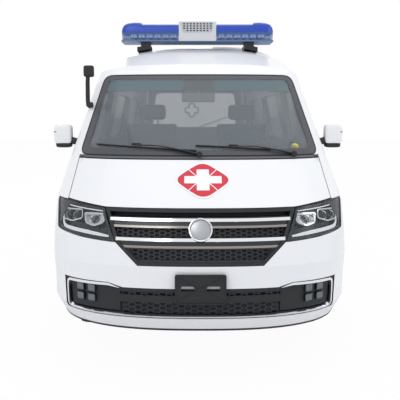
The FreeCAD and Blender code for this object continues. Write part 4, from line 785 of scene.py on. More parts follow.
CHROME_LINE = [(0.450, 0.5400), (0.515, 0.5560), (0.610, 0.5530), (0.700, 0.5505), (0.752, 0.5480),
    (0.765, 0.5400), (0.7685, 0.5200), (0.7680, 0.4600), (0.7660, 0.4080), (0.7590, 0.3900), (0.7420,
    0.3825), (0.6500, 0.3810), (0.5000, 0.3800), (0.3500, 0.3795), (0.1800, 0.3790), (0.0, 0.3790)]
CHROME_WIDTHS = [0.002, 0.015, 0.016, 0.016, 0.015, 0.012, 0.009, 0.008, 0.009, 0.012, 0.013, 0.013,
    0.012, 0.012, 0.011, 0.011]
merged("intake_chrome", both_sides([nose_sheet([strip_loop(CHROME_LINE, CHROME_WIDTHS)], 0.002, -0.014)]),
       CHROME, "body")
merged("intake_seam", [nose_sheet([inset(fine_loop(INTAKE_LINE), -0.001), inset(fine_loop(INTAKE_LINE),
    0.024)], -0.004, -0.012)], BLACK_PLASTIC)
hex_net("intake_mesh", lambda x, z: 0.385 < z < 0.54 and abs(x) < 0.448, 0.046, 0.027, 0.16, -0.007)
merged("intake_bar", [straight_bar(0.4825, 0.446, 0.041, -0.005, -0.022)], BLACK_PLASTIC, "body")
FOG_POCKET = fine_loop([(0.450, 0.392), (0.752, 0.394), (0.762, 0.536), (0.520, 0.540), (0.450, 0.520)])
merged("fog_pockets", both_sides([nose_sheet([FOG_POCKET], -0.016, -0.020)]), BLACK_PLASTIC)
fog_frames = []
fog_lenses = []
fog_backs = []
for x in (0.619, 0.690):
    for z in (0.463, 0.519):
        loop = rounded(rect(x - 0.0255, z - 0.0235, x + 0.0255, z + 0.0235), 0.008, 4)
        fog_frames.append(nose_sheet([loop, inset(loop, 0.004)], -0.002, -0.018))
        fog_lenses.append(nose_sheet([inset(loop, 0.0038)], -0.005, -0.007))
        fog_backs.append(nose_sheet([inset(loop, 0.0038)], -0.016, -0.018))
        fog_backs.append(dome_part(nose_at(x, z, -0.0165), 0.0150, -0.007, "y", 20, 4))
fog_piece = merged("fog_frames", both_sides(fog_frames), GLOSS_BLACK, "body")
merged("fog_reflectors", both_sides(fog_backs), DARK_CHROME, "body", 50)
merged("fog_covers", both_sides(fog_lenses), FOG_COVER, "body")
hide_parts("fog_lamps")

# Bumper: a thin black strip that paints the soft shade along the lower edge, and the blank plate holder


# Painted shade: a thin black strip along the white bumper's lower edge, where shade falls under it
merged("bumper_lip", [sheet([lamp_loop([(-78 + 4 * i, 0.286) for i in range(40)] + [(78 - 4 * i, 0.272)
    for i in range(40)])], lamp_place, 0.0015, -0.010, (0.04, 0.03))], BLACK_PLASTIC)

plate_low, plate_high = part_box("plate_bracket")
plate_y = plate_low[1]
plate_middle = (plate_low[2] + plate_high[2]) / 2
plate_half = (plate_high[0] - plate_low[0]) / 2
plate_tall = (plate_high[2] - plate_low[2]) / 2


def flat_sheet(loops, front, back):
    """A flat sheet that faces forward, from loops of (x, z)."""
    def place(x, z, lift):
        return Vector((x, lift, z))
    return sheet(loops, place, front, back, (1.0, 1.0))


def shifted(loop, dx, dz):
    return [(x + dx, z + dz) for x, z in loop]


PLATE_LOOP = rounded(rect(-plate_half, plate_middle - plate_tall, plate_half, plate_middle
    + plate_tall), 0.012, 4)
SLOT = rounded(rect(-0.036, -0.0135, 0.036, 0.0135), 0.006, 3)
slots = [shifted(SLOT, side * 0.070, plate_middle + 0.004) for side in (-1, 1)]
plate_parts = [flat_sheet([PLATE_LOOP] + slots, plate_y + 0.004, plate_y + 0.010),
    flat_sheet([PLATE_LOOP, inset(PLATE_LOOP, 0.007)], plate_y, plate_y + 0.006)]
for side in (-1, 1):
    for end in (-1, 1):
        brace = [(side * 0.012, plate_middle + end * 0.006), (side * 0.124, plate_middle + end * 0.064)]
        plate_parts.append(flat_sheet([strip_loop(brace, 0.008)], plate_y + 0.0015, plate_y + 0.006))
plate_parts.append(flat_sheet([strip_loop([(-0.014, plate_middle), (0.014, plate_middle)], 0.020)],
    plate_y + 0.001, plate_y + 0.006))
plate_piece = merged("plate_holder", plate_parts, BLACK_PLASTIC)
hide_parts("plate_bracket")

# Bonnet sign: a white cross with four cuts on a red diamond with rounded corners

SIGN_X = 0.018
SIGN_Z = 1.111


def sign_loop(points):
    return [(SIGN_X + x, SIGN_Z + z) for x, z in points]


DIAMOND = rounded(sign_loop([(0, -0.098), (0.178, 0), (0, 0.098), (-0.178, 0)]), 0.060, 8)
CROSS = sign_loop([(-0.037, -0.052), (0.037, -0.052), (0.037, -0.018), (0.110, -0.018), (0.110, 0.018),
    (0.037, 0.018), (0.037, 0.052), (-0.037, 0.052), (-0.037, 0.018), (-0.110, 0.018), (-0.110, -0.018),
    (-0.037, -0.018)])
CUTS = [strip_loop(sign_loop([(x * 0.036, z * 0.017), (x * 0.088, z * 0.056)]), 0.0045)
        for x in (-1, 1) for z in (-1, 1)]
SIGN_CELL = (2.0, 0.02)
merged("bonnet_sign", [nose_sheet([DIAMOND], 0.0011, 0.0003, SIGN_CELL)], RED_VINYL, "bonnet")
merged("bonnet_sign_edge", [nose_sheet([inset(DIAMOND, -0.006), inset(DIAMOND, 0.0015)], 0.0013, 0.0004,
    SIGN_CELL)], WHITE_VINYL, "bonnet")
merged("bonnet_cross", [nose_sheet([loop], 0.0017, 0.0009, SIGN_CELL) for loop in [rounded(CROSS, 0.004,
    3)] + CUTS], WHITE_VINYL, "bonnet")

# Windscreen: dark border, shade band, mirror inside and the small discs

SCREEN_LOOP = rounded(even(0.785, 1.236, 0.690, 1.785), 0.060)
SCREEN_CELL = (3.0, 0.06)
FRIT_INNER = rounded([(-0.728, 1.279), (-0.40, 1.271), (0.0, 1.269), (0.40, 1.271), (0.728, 1.279),
    (0.652, 1.752), (-0.652, 1.752)], 0.035)
merged("screen_border", [nose_sheet([inset(fine_loop(SCREEN_LOOP), 0.002), fine_loop(FRIT_INNER)],
    0.0007, 0.0001, SCREEN_CELL)], FRIT, "body")
merged("screen_seal", [nose_sheet([inset(SCREEN_LOOP, -0.002), inset(SCREEN_LOOP, 0.006)], 0.0016,
    -0.006, SCREEN_CELL)], RUBBER)
BAND = [(-0.655, 1.750), (-0.115, 1.757), (-0.105, 1.672), (-0.664, 1.668)]
merged("shade_band", both_sides([nose_sheet([fine_loop(BAND)], -0.0085, -0.0092, SCREEN_CELL)]),
       SHADE_BAND, "body")
PATCH = rounded(even(0.103, 1.762, 0.112, 1.676), 0.012)
merged("sensor_patch", [nose_sheet([PATCH], -0.0085, -0.0092, SCREEN_CELL)], GLOSS_BLACK, "body")

# Inner mirror and two small discs behind the glass


def flat_to_glass(x, z, depth):
    """A point behind the windscreen, depth in from its skin."""
    return nose_at(x, z, -depth)


mirror_spot = flat_to_glass(0.0, 1.660, 0.060)
merged("cab_mirror", [box_part(mirror_spot + Vector((-0.118, -0.012, -0.032)), mirror_spot
    + Vector((0.118, 0.012, 0.032)), 0.010, 3), tube_part([mirror_spot + Vector((0, 0.0, 0.02)),
    flat_to_glass(0, 1.715, 0.018)], 0.009, 12)], GREY_PLASTIC)
merged("cab_mirror_face", [box_part(mirror_spot + Vector((-0.108, 0.0105, -0.026)), mirror_spot
    + Vector((0.108, 0.0140, 0.026)), 0.002, 1)], CHROME, "body")
disc_spot = flat_to_glass(0.628, 1.292, 0.016)
merged("screen_disc", [dome_part(disc_spot, 0.028, -0.009, "y", 28, 4)], YELLOW_DISC, "body", 60)
merged("screen_disc_back", [dome_part(disc_spot + Vector((-0.022, 0.010, 0.008)), 0.026, -0.006, "y",
    28, 4)], BLUE_DISC, "body", 60)

# Wipers: two tapered arms, clips and long blades

PIVOT_Z = 1.241
# Each wiper: x of the pivot, tip, other end and clip, then z of the clip, tip and other end
WIPERS = ((0.0, -0.664, -0.020, -0.400, 1.297, 1.297, 1.262),
          (0.600, -0.022, 0.452, 0.215, 1.290, 1.293, 1.268))
CLIP_SIZE = Vector((0.030, 0.007, 0.006))
wiper_arms = []
wiper_blades = []
wiper_caps = []
for pivot_x, tip_x, end_x, clip_x, clip_z, tip_z, end_z in WIPERS:
    pivot = nose_at(pivot_x, PIVOT_Z, 0.010)
    clip = nose_at(clip_x, clip_z - 0.004, 0.014)
    bend = nose_at(pivot_x - 0.10, PIVOT_Z + 0.018, 0.015)
    wiper_arms.append(tube_part([pivot, bend, nose_at((bend.x + clip.x) / 2, (bend.z + clip.z) / 2,
        0.015), clip], [0.011, 0.009, 0.006, 0.005], 10, 0.6))
    wiper_caps.append(lathe_part([(-0.020, 0.0), (-0.020, 0.017), (0.008, 0.017), (0.012, 0.012),
        (0.012, 0.0)], pivot, "y", 24))
    spots = [(tip_x + (end_x - tip_x) * i / 10, tip_z + (end_z - tip_z) * i / 10) for i in range(11)]
    wiper_blades.append(tube_part([nose_at(x, z, 0.0095) for x, z in spots], 0.0055, 8, 0.9))
    wiper_blades.append(tube_part([nose_at(x, z, 0.0035) for x, z in spots], 0.0026, 6, 1.0))
    clip = nose_at(clip_x, clip_z, 0.014)
    wiper_blades.append(box_part(clip - CLIP_SIZE, clip + CLIP_SIZE, 0.003, 2))
arms_piece = merged("wiper_arms", wiper_arms, BLACK_PLASTIC, angle=50)
merged("wiper_blades", wiper_blades, RUBBER, angle=50)
merged("wiper_caps", wiper_caps, BLACK_PLASTIC, angle=40)
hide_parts("wipers")

# Door mirrors: black foot and lower shell, white cap and the glass behind


def blob_part(low, high, power, steps, rings):
    """A closed rounded box: power near 1 is an egg, low powers are squarer."""
    middle = (Vector(low) + Vector(high)) / 2
    half = (Vector(high) - Vector(low)) / 2
    points = []
    for ring in range(1, rings):
        up = math.pi * ring / rings - math.pi / 2
        flat = math.cos(up) ** power
        rise = math.copysign(abs(math.sin(up)) ** power, up)
        for step in range(steps):
            turn = math.tau * step / steps
            x = math.copysign(abs(math.cos(turn)) ** power, math.cos(turn)) * flat
            y = math.copysign(abs(math.sin(turn)) ** power, math.sin(turn)) * flat
            points.append(middle + Vector((half.x * x, half.y * y, half.z * rise)))
    return capped(points, steps)


for side, reach in REACH.items():
    shell = reach(blob_part((0.922, -1.380, 1.282), (1.050, -1.292, 1.430), 0.42, 40, 22))
    base = reach(blob_part((0.926, -1.374, 1.257), (1.040, -1.294, 1.300), 0.50, 36, 14))
    back = reach(blob_part((0.928, -1.303, 1.268), (1.046, -1.284, 1.424), 0.32, 36, 16))
    glass = reach(blob_part((0.934, -1.2865, 1.276), (1.040, -1.2810, 1.418), 0.28, 36, 16))
    foot = reach(tube_part([(0.862, -1.352, 1.300), (0.895, -1.348, 1.302), (0.935, -1.340, 1.312)],
        [0.026, 0.020, 0.022], 20, 1.25))
    foot_plate = reach(blob_part((0.858, -1.376, 1.268), (0.872, -1.322, 1.344), 0.35, 24, 12))
    lamp_strip = reach(blob_part((1.006, -1.379, 1.366), (1.0497, -1.330, 1.378), 0.5, 24, 10))
    cap = merged(f"mirror_cap_{side}", [shell], PAINT, f"door_{side}", 50)
    merged(f"mirror_base_{side}", [base, back, foot, foot_plate], BLACK_PLASTIC, f"door_{side}",
           50)
    merged(f"mirror_glass_{side}", [glass], CHROME, f"door_{side}", 40)
    merged(f"mirror_repeater_{side}", [lamp_strip], AMBER_LENS, f"door_{side}", 50)
    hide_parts(f"mirror_{side}")

# Mirror on a stalk at the right front corner

stalk = [(-0.768, -1.410, 1.552), (-0.786, -1.410, 1.562), (-0.789, -1.410, 1.60), (-0.788, -1.410,
    1.72), (-0.784, -1.410, 1.790)]
stalk_piece = merged("stalk", [tube_part(stalk, [0.017, 0.0165, 0.0155, 0.015, 0.014], 20),
    blob_part((-0.790, -1.428, 1.545), (-0.752, -1.392, 1.585), 0.5, 24, 12), blob_part((-0.813, -1.434,
    1.760), (-0.740, -1.398, 1.841), 0.36, 36, 18)], BLACK_PLASTIC, angle=50)
merged("stalk_glass", [blob_part((-0.807, -1.400, 1.766), (-0.746, -1.3945, 1.835), 0.3, 30, 14)], CHROME,
       "body", 40)
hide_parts("stalk_mirror")

# Light bar: white speaker in the middle, two long blue lenses and black feet

BAR_LOW = 2.112
BAR_SEAM = 2.178
BAR_TOP = 2.264
BAR_FRONT = -0.7345
BAR_BACK = -0.4955


def swept_part(sections):
    """A closed form through rings of points with the same number of points."""
    return capped([point for ring in sections for point in ring], len(sections[0]))


def half_section(x, low, high, share, upper):
    """The upper or lower half of a bar section, closed by its seam."""
    middle = (BAR_FRONT + BAR_BACK) / 2
    half = (BAR_BACK - BAR_FRONT) / 2 * share
    points = []
    for step in range(19):
        turn = math.pi * step / 18
        y = math.copysign(abs(math.cos(turn)) ** 0.45, math.cos(turn)) * half
        rise = math.sin(turn) ** 0.5
        z = low + (high - low) * rise if upper else high - (high - low) * rise
        points.append(Vector((x, middle + y, z)))
    return points


BAR_STATIONS = [(0.158, 0.0, 1.0), (0.30, 0.0, 1.0), (0.455, 0.0, 1.0), (0.470, 0.014, 1.0), (0.520,
    0.016, 1.0), (0.575, 0.010, 0.97), (0.605, -0.001, 0.91), (0.622, -0.020, 0.80), (0.632, -0.042,
    0.62)]
upper_domes = []
lower_domes = []
for x, lift, share in BAR_STATIONS:
    top = BAR_TOP - 0.016 + lift
    upper_domes.append(half_section(x, BAR_SEAM, max(top, BAR_SEAM + 0.012), share, True))
    lower_domes.append(half_section(x, BAR_LOW + 0.03 * (1 - share), BAR_SEAM, share, False))
blue_piece = merged("bar_blue", both_sides([swept_part(upper_domes)]), BLUE_LENS, "body", 40)
merged("bar_clear", both_sides([swept_part(lower_domes)]), BAR_CLEAR, "body", 40)
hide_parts("beacon_lenses")
seam_band = []
for x, lift, share in BAR_STATIONS[:-1]:
    seam_band.append(half_section(x, BAR_SEAM - 0.0015, BAR_SEAM + 0.0015, share * 1.002, True))
merged("bar_seam", both_sides([swept_part(seam_band)]), BLACK_PLASTIC, "body", 40)
led_spots = []
module_spots = []
LED_HEIGHT = (BAR_LOW + BAR_SEAM) / 2
for index in range(6):
    for sign in (-1, 1):
        x = sign * (0.20 + index * 0.066)
        for place, facing in ((BAR_FRONT + 0.020, FORWARD), (BAR_BACK - 0.020, -FORWARD)):
            module_spots.append((Vector((x, place, LED_HEIGHT)), facing))
            for column in (-0.0135, 0.0135):
                led_spots.append((Vector((x + column, place, LED_HEIGHT)), facing))
led_module = box_part((-0.027, 0.0, -0.019), (0.027, 0.025, 0.021), 0.003, 1)
repeated("bar_modules", led_module, module_spots, REFLECTOR, "body")
repeated("bar_leds", dome_part(Vector((0, 0, 0)), 0.0105, -0.007, "y", 16, 4), led_spots, WHITE_LIGHT,
    "body", 60)
base_rings = [[(x, BAR_FRONT + 0.004 + (1 - share) * 0.05), (x, BAR_BACK - 0.004 - (1 - share) * 0.05)]
    for x, _, share in BAR_STATIONS]
base_line = [ring[0] for ring in base_rings] + [ring[1] for ring in base_rings[::-1]]
base_loop = base_line + [(-x, y) for x, y in base_line[::-1]]


def level_sheet(loops, high, low):
    """A flat plate from loops of (x, y), between two heights."""
    def place(x, y, lift):
        return Vector((x, y, lift))
    return sheet(loops, place, high, low, (2.0, 2.0))


merged("bar_base", [level_sheet([base_loop], BAR_LOW + 0.004, BAR_LOW - 0.010)], BAR_BASE, "body")
speaker_piece = merged("bar_speaker", [box_part((-0.1565, -0.7355, 2.1040), (0.1565, -0.4945, 2.2640),
    0.010, 4)], SPEAKER_WHITE, "body")
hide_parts("light_bar")
GRILLE_TOP = 2.256
GRILLE_LOW = 2.176
grille_holes = []
for row in range(4):
    z = GRILLE_LOW + 0.0130 + row * 0.0180
    width = 0.132 - (GRILLE_TOP - z) * 0.20
    for column in range(-4, 5):
        x = column * 0.0275
        if abs(x) < width - 0.012:
            grille_holes.append(circle(x, z, 0.0088, 0.0060, 12))
SPEAKER_FACE = rounded(even(0.118, GRILLE_LOW, 0.134, GRILLE_TOP), 0.012, 4)
merged("speaker_grille", [flat_sheet([SPEAKER_FACE] + grille_holes, -0.7395, -0.7362)], GREY_PLASTIC,
    "body")
merged("speaker_dark", [flat_sheet([inset(SPEAKER_FACE, 0.004)], -0.7366, -0.7350)], BLACK_PLASTIC,
    "body")


def foot_ring(x, front, back, low, high):
    """A section of a foot across x."""
    return [Vector((x, y, z)) for y, z in ((front, high), (back, high), (back, low), (front, low))]


feet = [swept_part([foot_ring(0.400, -0.715, -0.520, 2.060, 2.108), foot_ring(0.470, -0.715, -0.520,
    2.040, 2.108)]), swept_part([foot_ring(0.390, -0.735, -0.500, 2.043, 2.076), foot_ring(0.500,
    -0.735, -0.500, 2.020, 2.056)])]
merged("bar_feet", both_sides(feet), BLACK_PLASTIC)

# Seats and bench: cushions blown up by a cloth step, with sewn channels


CUSHION_CORNER = 0.035
CHANNEL = 0.012
VOXEL = 0.014
HELD = 0.012
CLOTH_STEPS = 20


def pillow(name, low, high, cap, lean):
    part = box_part(low, high, CUSHION_CORNER, 4)
    made = bmesh.new()
    verts = [made.verts.new(point) for point in part[0]]
    for face in part[1]:
        made.faces.new([verts[i] for i in face])
    for vert in made.verts:
        vert.co.y += lean * (vert.co.z - low[2])
    bmesh.ops.recalc_face_normals(made, faces=made.faces)
    mesh = bpy.data.meshes.new(name)
    made.to_mesh(mesh)
    made.free()
    piece = bpy.data.objects.new(name, mesh)
    bpy.context.scene.collection.objects.link(piece)
    remesh = piece.modifiers.new("even", "REMESH")
    remesh.mode = "VOXEL"
    remesh.voxel_size = VOXEL
    applied(piece)
    start = [vert.co.copy() for vert in piece.data.vertices]
    pin = piece.vertex_groups.new(name="held")
    base = [v.index for v in piece.data.vertices if v.co.z < low[2] + HELD]
    pin.add(base, 1.0, "REPLACE")
    cloth = piece.modifiers.new("swell", "CLOTH")
    cloth.settings.use_pressure = True
    cloth.settings.uniform_pressure_force = 4.0
    cloth.settings.effector_weights.gravity = 0.0
    cloth.settings.vertex_group_mass = "held"
    cloth.settings.quality = 4
    cloth.point_cache.frame_start = 1
    cloth.point_cache.frame_end = CLOTH_STEPS
    for step in range(1, CLOTH_STEPS + 1):
        bpy.context.scene.frame_set(step)
    applied(piece)
    bpy.context.scene.frame_set(1)
    for vert, before in zip(piece.data.vertices, start):
        move = vert.co - before
        if move.length > cap:
            vert.co = before + move * (cap / move.length)
    return piece


def applied(piece):
    """Keeps what the piece's modifiers make and removes them."""
    graph = bpy.context.evaluated_depsgraph_get()
    kept = bpy.data.meshes.new_from_object(piece.evaluated_get(graph))
    piece.modifiers.clear()
    old = piece.data
    piece.data = kept
    bpy.data.meshes.remove(old)


def cushion(name, low, high, body, finish, cap, lean=0.0, grooves=()):
    """A cushion with sewn channels across it at the places in grooves (heights or depths)."""
    piece = pillow(name, low, high, cap, lean)
    applied(piece)
    for vert in piece.data.vertices:
        for axis, place, depth in grooves:
            away = abs(vert.co[axis] - place)
            if away < CHANNEL:
                pull = (1 - (away / CHANNEL) ** 2) * depth
                normal = vert.normal.copy()
                normal[axis] = 0
                vert.co -= normal * pull
    piece.data.materials.append(finish)
    for polygon in piece.data.polygons:
        polygon.use_smooth = True
    finer = piece.modifiers.new("finer", "SUBSURF")
    finer.levels = 1
    finer.render_levels = 1
    applied(piece)
    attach(piece, body)
    return piece


seat_frames = []
for side, sign in (("left", 1), ("right", -1)):
    x = 0.400 * sign
    base = cushion(f"seat_cushion_{side}", (x - 0.236, -0.936, 0.850), (x + 0.236, -0.500, 0.952),
        "body", CLOTH, 0.008, grooves=((0, x - 0.145, 0.007), (0, x + 0.145, 0.007), (1,
        -0.700, 0.006)))
    cushion(f"seat_back_{side}", (x - 0.230, -0.554, 0.965), (x + 0.230, -0.462, 1.425), "body", CLOTH,
        0.008, 0.16, grooves=((0, x - 0.140, 0.007), (0, x + 0.140, 0.007), (2, 1.220,
        0.006)))
    cushion(f"seat_head_{side}", (x - 0.120, -0.475, 1.452), (x + 0.120, -0.390, 1.588), "body",
            CLOTH, 0.006, 0.10)
    for rod in (x - 0.05, x + 0.05):
        seat_frames.append(tube_part([(rod, -0.452, 1.400), (rod, -0.436, 1.500)], 0.006, 10))
    seat_frames.append(box_part((x - 0.180, -0.890, 0.602), (x + 0.180, -0.560, 0.860), 0.020, 2))
    if side == "left":
        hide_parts("front_seats")
merged("seat_frames", seat_frames, BLACK_PLASTIC)
bench_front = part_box("bench")[0][1] + 0.006
for index in range(3):
    y0 = bench_front + index * 0.496
    piece = cushion(f"bench_cushion_{index + 1}", (0.414, y0, 0.905), (0.728, y0 + 0.484, 1.012),
        "body", VINYL, 0.007)
    cushion(f"bench_back_{index + 1}", (0.742, y0, 1.028), (0.798, y0 + 0.484, 1.218), "body", VINYL,
        0.005)
    if index == 0:
        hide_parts("bench")
merged("bench_box", [box_part((0.430, 0.090, 0.602), (0.800, 0.910, 0.899), 0.010, 2), box_part((0.410,
    0.055, 0.885), (0.802, 1.545, 0.906), 0.004, 1), box_part((0.800, 0.055, 0.900), (0.8045, 1.545,
    1.200), 0.002, 1)], GREY_PLASTIC, "body")

# Dashboard vents

dash_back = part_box("dashboard")[1][1]
vents = [box_part((x - 0.055, dash_back - 0.004, 1.09), (x + 0.055, dash_back, 1.15), 0.001, 1)
    for x in (-0.62, -0.10, 0.08, 0.62)]
merged("dash_vents", vents, BLACK_PLASTIC)

# Wheels: treaded tyres and pressed steel rims with bolts and a hub

TREAD_STEPS = 88
TREAD_RADIUS = 0.3255
SHOULDER = 0.0375
BLOCK_DEPTH = 0.0065
VALVE_TURN = 0.9
WHEEL_Z = 0.335


def tyre_part(centre):
    """A tyre with three grooves, blocks across the shoulders and a rounded side wall."""
    profile = [(-0.078, 0.1945), (-0.088, 0.2050), (-0.0955, 0.232), (-0.0970, 0.262), (-0.0950, 0.292),
        (-0.0870, 0.314), (-0.0760, 0.3265), (-0.0740, 0.3270), (-0.046, 0.3335), (-0.0445, 0.3265),
        (-0.0385, 0.3265), (-0.0370, 0.3342), (-0.0045, 0.3349), (-0.0030, 0.3275), (0.0030, 0.3275),
        (0.0045, 0.3349)]
    profile = profile + [(-along, radius) for along, radius in profile[:-4][::-1]]
    points = []
    steps = TREAD_STEPS * 2
    for step in range(steps):
        angle = math.tau * step / steps
        raised = step % 4 < 2
        for along, radius in profile:
            if radius > TREAD_RADIUS and abs(along) > SHOULDER and not raised:
                radius -= BLOCK_DEPTH
            points.append(Vector(centre) + Vector((along, radius * math.cos(angle),
                radius * math.sin(angle))))
    return points, turned_faces(len(profile), steps, closed=True)


def rim_parts(centre, outward):
    """Pressed steel wheel: rolled edge, disc with a ring of round windows, hub and valve."""
    s = outward
    rim = lathe_part([(s * 0.080, 0.1940), (s * 0.0815, 0.1900), (s * 0.079, 0.1860), (s * 0.066,
        0.1820), (s * 0.040, 0.1720), (s * -0.060, 0.1700), (s * -0.080, 0.1890), (s * -0.080, 0.1935),
        (s * -0.056, 0.1765), (s * 0.040, 0.1785), (s * 0.064, 0.1880), (s * 0.080, 0.1940)], centre,
        "x", 72)
    disc_loops = [circle(0, 0, 0.1735, 0.1735, 72)]
    for hole in range(10):
        turn = math.tau * (hole + 0.5) / 10
        disc_loops.append(circle(0.134 * math.cos(turn), 0.134 * math.sin(turn), 0.0175, 0.0175, 20))

    def place(a, b, lift):
        radius = math.hypot(a, b)
        dish = (0.030 + 0.020 * math.exp(-((radius - 0.150) / 0.030) ** 2)
                - 0.014 * math.exp(-(radius / 0.075) ** 4))
        return Vector(centre) + Vector((s * (dish + lift), a, b))

    disc = sheet(disc_loops, place, 0.0035, -0.0035, (0.022, 0.022))
    hub = lathe_part([(s * 0.020, 0.0), (s * 0.056, 0.0), (s * 0.058, 0.020), (s * 0.056, 0.030),
        (s * 0.052, 0.034), (s * 0.018, 0.036)], centre, "x", 48)
    valve = tube_part([Vector(centre) + Vector((s * along, radius * math.cos(VALVE_TURN),
        radius * math.sin(VALVE_TURN))) for along, radius in ((0.052, 0.166), (0.078, 0.160))], 0.0042,
        10)
    return rim, disc, hub, valve


BOLT = lathe_part([(0.0, 0.0105), (-0.014, 0.0105), (-0.017, 0.0090), (-0.018, 0.0)], (0, 0, 0), "y", 6)
for corner in ("fl", "fr", "rl", "rr"):
    low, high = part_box(f"tyre_{corner}")
    centre = (low + high) / 2
    outward = 1 if corner[1] == "l" else -1
    wheel = f"wheel_{corner}"
    tyre = merged(f"tyre_dressed_{corner}", [tyre_part(centre)], TYRE, wheel, 35)
    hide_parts(f"tyre_{corner}")
    rim, disc, hub, valve = rim_parts(centre, outward)
    rim_piece = merged(f"rim_dressed_{corner}", [rim, disc], SATIN_METAL, wheel, 35)
    merged(f"hub_{corner}", [hub, valve], BLACK_PLASTIC, wheel, 40)
    bolt_spots = []
    for bolt in range(5):
        turn = math.tau * bolt / 5 + 0.3
        place = centre + Vector((outward * 0.020, 0.057 * math.cos(turn), 0.057 * math.sin(turn)))
        bolt_spots.append((place, Vector((outward, 0, 0))))
    repeated(f"bolts_{corner}", BOLT, bolt_spots, STEEL, wheel)
    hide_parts(f"rim_{corner}")

# Sides: window seals, handles, slider rail and fuel flap


def side_loop(points, radius):
    """A rounded loop on the side, from (u, z) in metres behind the bumper's front."""
    return rounded([(u + BUMPER_Y, z) for u, z in points], radius)


DOOR_WINDOW = side_loop([(1.135, 1.280), (1.950, 1.280), (1.950, 1.690), (1.365, 1.690), (1.135,
    1.460)], 0.075)
SLIDER_WINDOW = side_loop(rect(2.190, 1.280, 3.170, 1.690), 0.080)
REAR_WINDOW = side_loop([(3.430, 1.280), (4.472, 1.280), (4.422, 1.690), (3.430, 1.690)], 0.080)


def seal_sheet(loop):
    return side_sheet([inset(loop, -0.014), inset(loop, 0.006)], 0.0016, -0.004)


merged("seals_side", both_sides([seal_sheet(SLIDER_WINDOW)]) + both_sides([seal_sheet(REAR_WINDOW)]),
    RUBBER)
handle_y = -0.575
for side, reach in REACH.items():
    merged(f"seal_door_{side}", [reach(seal_sheet(DOOR_WINDOW))], RUBBER, f"door_{side}")
    belt = side_sheet([rect(-1.330, 1.262, -0.484, 1.274)], 0.003, -0.002)
    merged(f"belt_strip_{side}", [reach(belt)], BLACK_PLASTIC, f"door_{side}")
    handle = tube_part([side_at(handle_y + y, z, lift) for y, z, lift in (
        (-0.085, 1.140, 0.010), (-0.060, 1.140, 0.036), (0.0, 1.141, 0.042), (0.060, 1.141, 0.037),
        (0.085, 1.140, 0.012))], [0.012, 0.013, 0.013, 0.013, 0.012], 16, 0.8)
    cup = side_sheet([rounded(rect(handle_y - 0.100, 1.116, handle_y + 0.100, 1.166), 0.020)], 0.0014,
        -0.003)
    merged(f"handle_{side}", [reach(handle)], CHROME, f"door_{side}", 50)
    merged(f"handle_cup_{side}", [reach(cup)], PAINT, f"door_{side}")
key = lathe_part([(0.0, 0.0), (0.0042, 0.0), (0.0042, 0.010), (0.002, 0.012), (-0.004, 0.012)],
    side_at(handle_y + 0.128, 1.141, 0.0), "x", 24)
merged("key_left", [key], DARK_CHROME, "door_left")

slider_handle = tube_part([side_at(-0.270, z, lift) for z, lift in (
    (1.090, 0.010), (1.110, 0.036), (1.150, 0.042), (1.190, 0.037), (1.210, 0.012))], 0.012, 16, 0.9)
merged("slider_handle", [mirror_part(slider_handle)], CHROME, "body", 50)
merged("slider_cup", [mirror_part(side_sheet([rounded(rect(-0.297, 1.076, -0.243, 1.224), 0.020)],
    0.0014, -0.003))], PAINT, "body")
rail = [mirror_part(side_sheet([rect(0.835, 1.178, 1.985, 1.206)], 0.002, -0.004)),
        mirror_part(side_sheet([rect(0.826, 1.166, 1.994, 1.176)], 0.0065, -0.002)),
        mirror_part(side_sheet([rect(0.826, 1.208, 1.994, 1.218)], 0.0065, -0.002))]
merged("slider_rail", rail[:1], BLACK_PLASTIC)
merged("slider_rail_edges", rail[1:], SATIN_METAL, "body")
flap = rounded(rect(1.62, 0.930, 1.80, 1.090), 0.030)
merged("fuel_flap", [side_sheet([inset(flap, 0.003)], 0.0018, -0.001)], PAINT, "body")
merged("fuel_flap_gap", [side_sheet([flap, inset(flap, 0.003)], 0.0006, -0.003)], RUBBER)

# Sill covers, rubbing strips and arch lips


def rub_strip(y0, z0, y1, z1):
    return side_sheet([rounded(rect(y0, z0, y1, z1), 0.012, 3)], 0.0085, -0.001)


for side, reach in REACH.items():
    merged(f"strip_door_{side}", [reach(rub_strip(-1.025, 0.620, -0.462, 0.700))], BLACK_PLASTIC,
        f"door_{side}")
strip_pieces = []
for y0, z0, y1, z1 in ((-0.345, 0.620, 0.805, 0.700), (0.832, 0.620, 0.975, 0.700), (1.705, 0.640,
        1.915, 0.705)):
    strip_pieces += both_sides([rub_strip(y0, z0, y1, z1)])
merged("strips_body", strip_pieces, BLACK_PLASTIC)
ARCH_Y = 1.330
ARCH_RADIUS = 0.387
arch_spots = []
for step in range(41):
    turn = math.radians(8 + 164 * step / 40)
    arch_spots.append(side_at(ARCH_Y + ARCH_RADIUS * math.cos(turn), WHEEL_Z
        + ARCH_RADIUS * math.sin(turn), -0.004))
merged("arch_lips", both_sides([tube_part(arch_spots, 0.008, 10)]), PAINT, "body", 50)
merged("sill_covers", both_sides([side_sheet([rect(-1.02, 0.322, 0.92, 0.404)], 0.004, -0.003)]),
    BLACK_PLASTIC)

# Back: lamp segments, high brake lamp, handle, plate recess, cross and bumper pad


def tail_y(z):
    """Where the rear face stands at a height."""
    leans = ((0.0, 0.0), (1.10, 0.0), (1.235, 0.010), (1.80, 0.070), (2.25, 0.120))
    for (z0, lean0), (z1, lean1) in zip(leans, leans[1:]):
        if z <= z1:
            return 2.35 - (lean0 + (lean1 - lean0) * (z - z0) / (z1 - z0))
    return 2.23


def tail_place(x, z, lift):
    return Vector((x, tail_y(z) + lift, z))


def tail_sheet(loops, outer, inner):
    return sheet(loops, tail_place, outer, inner, (1.0, 0.12))


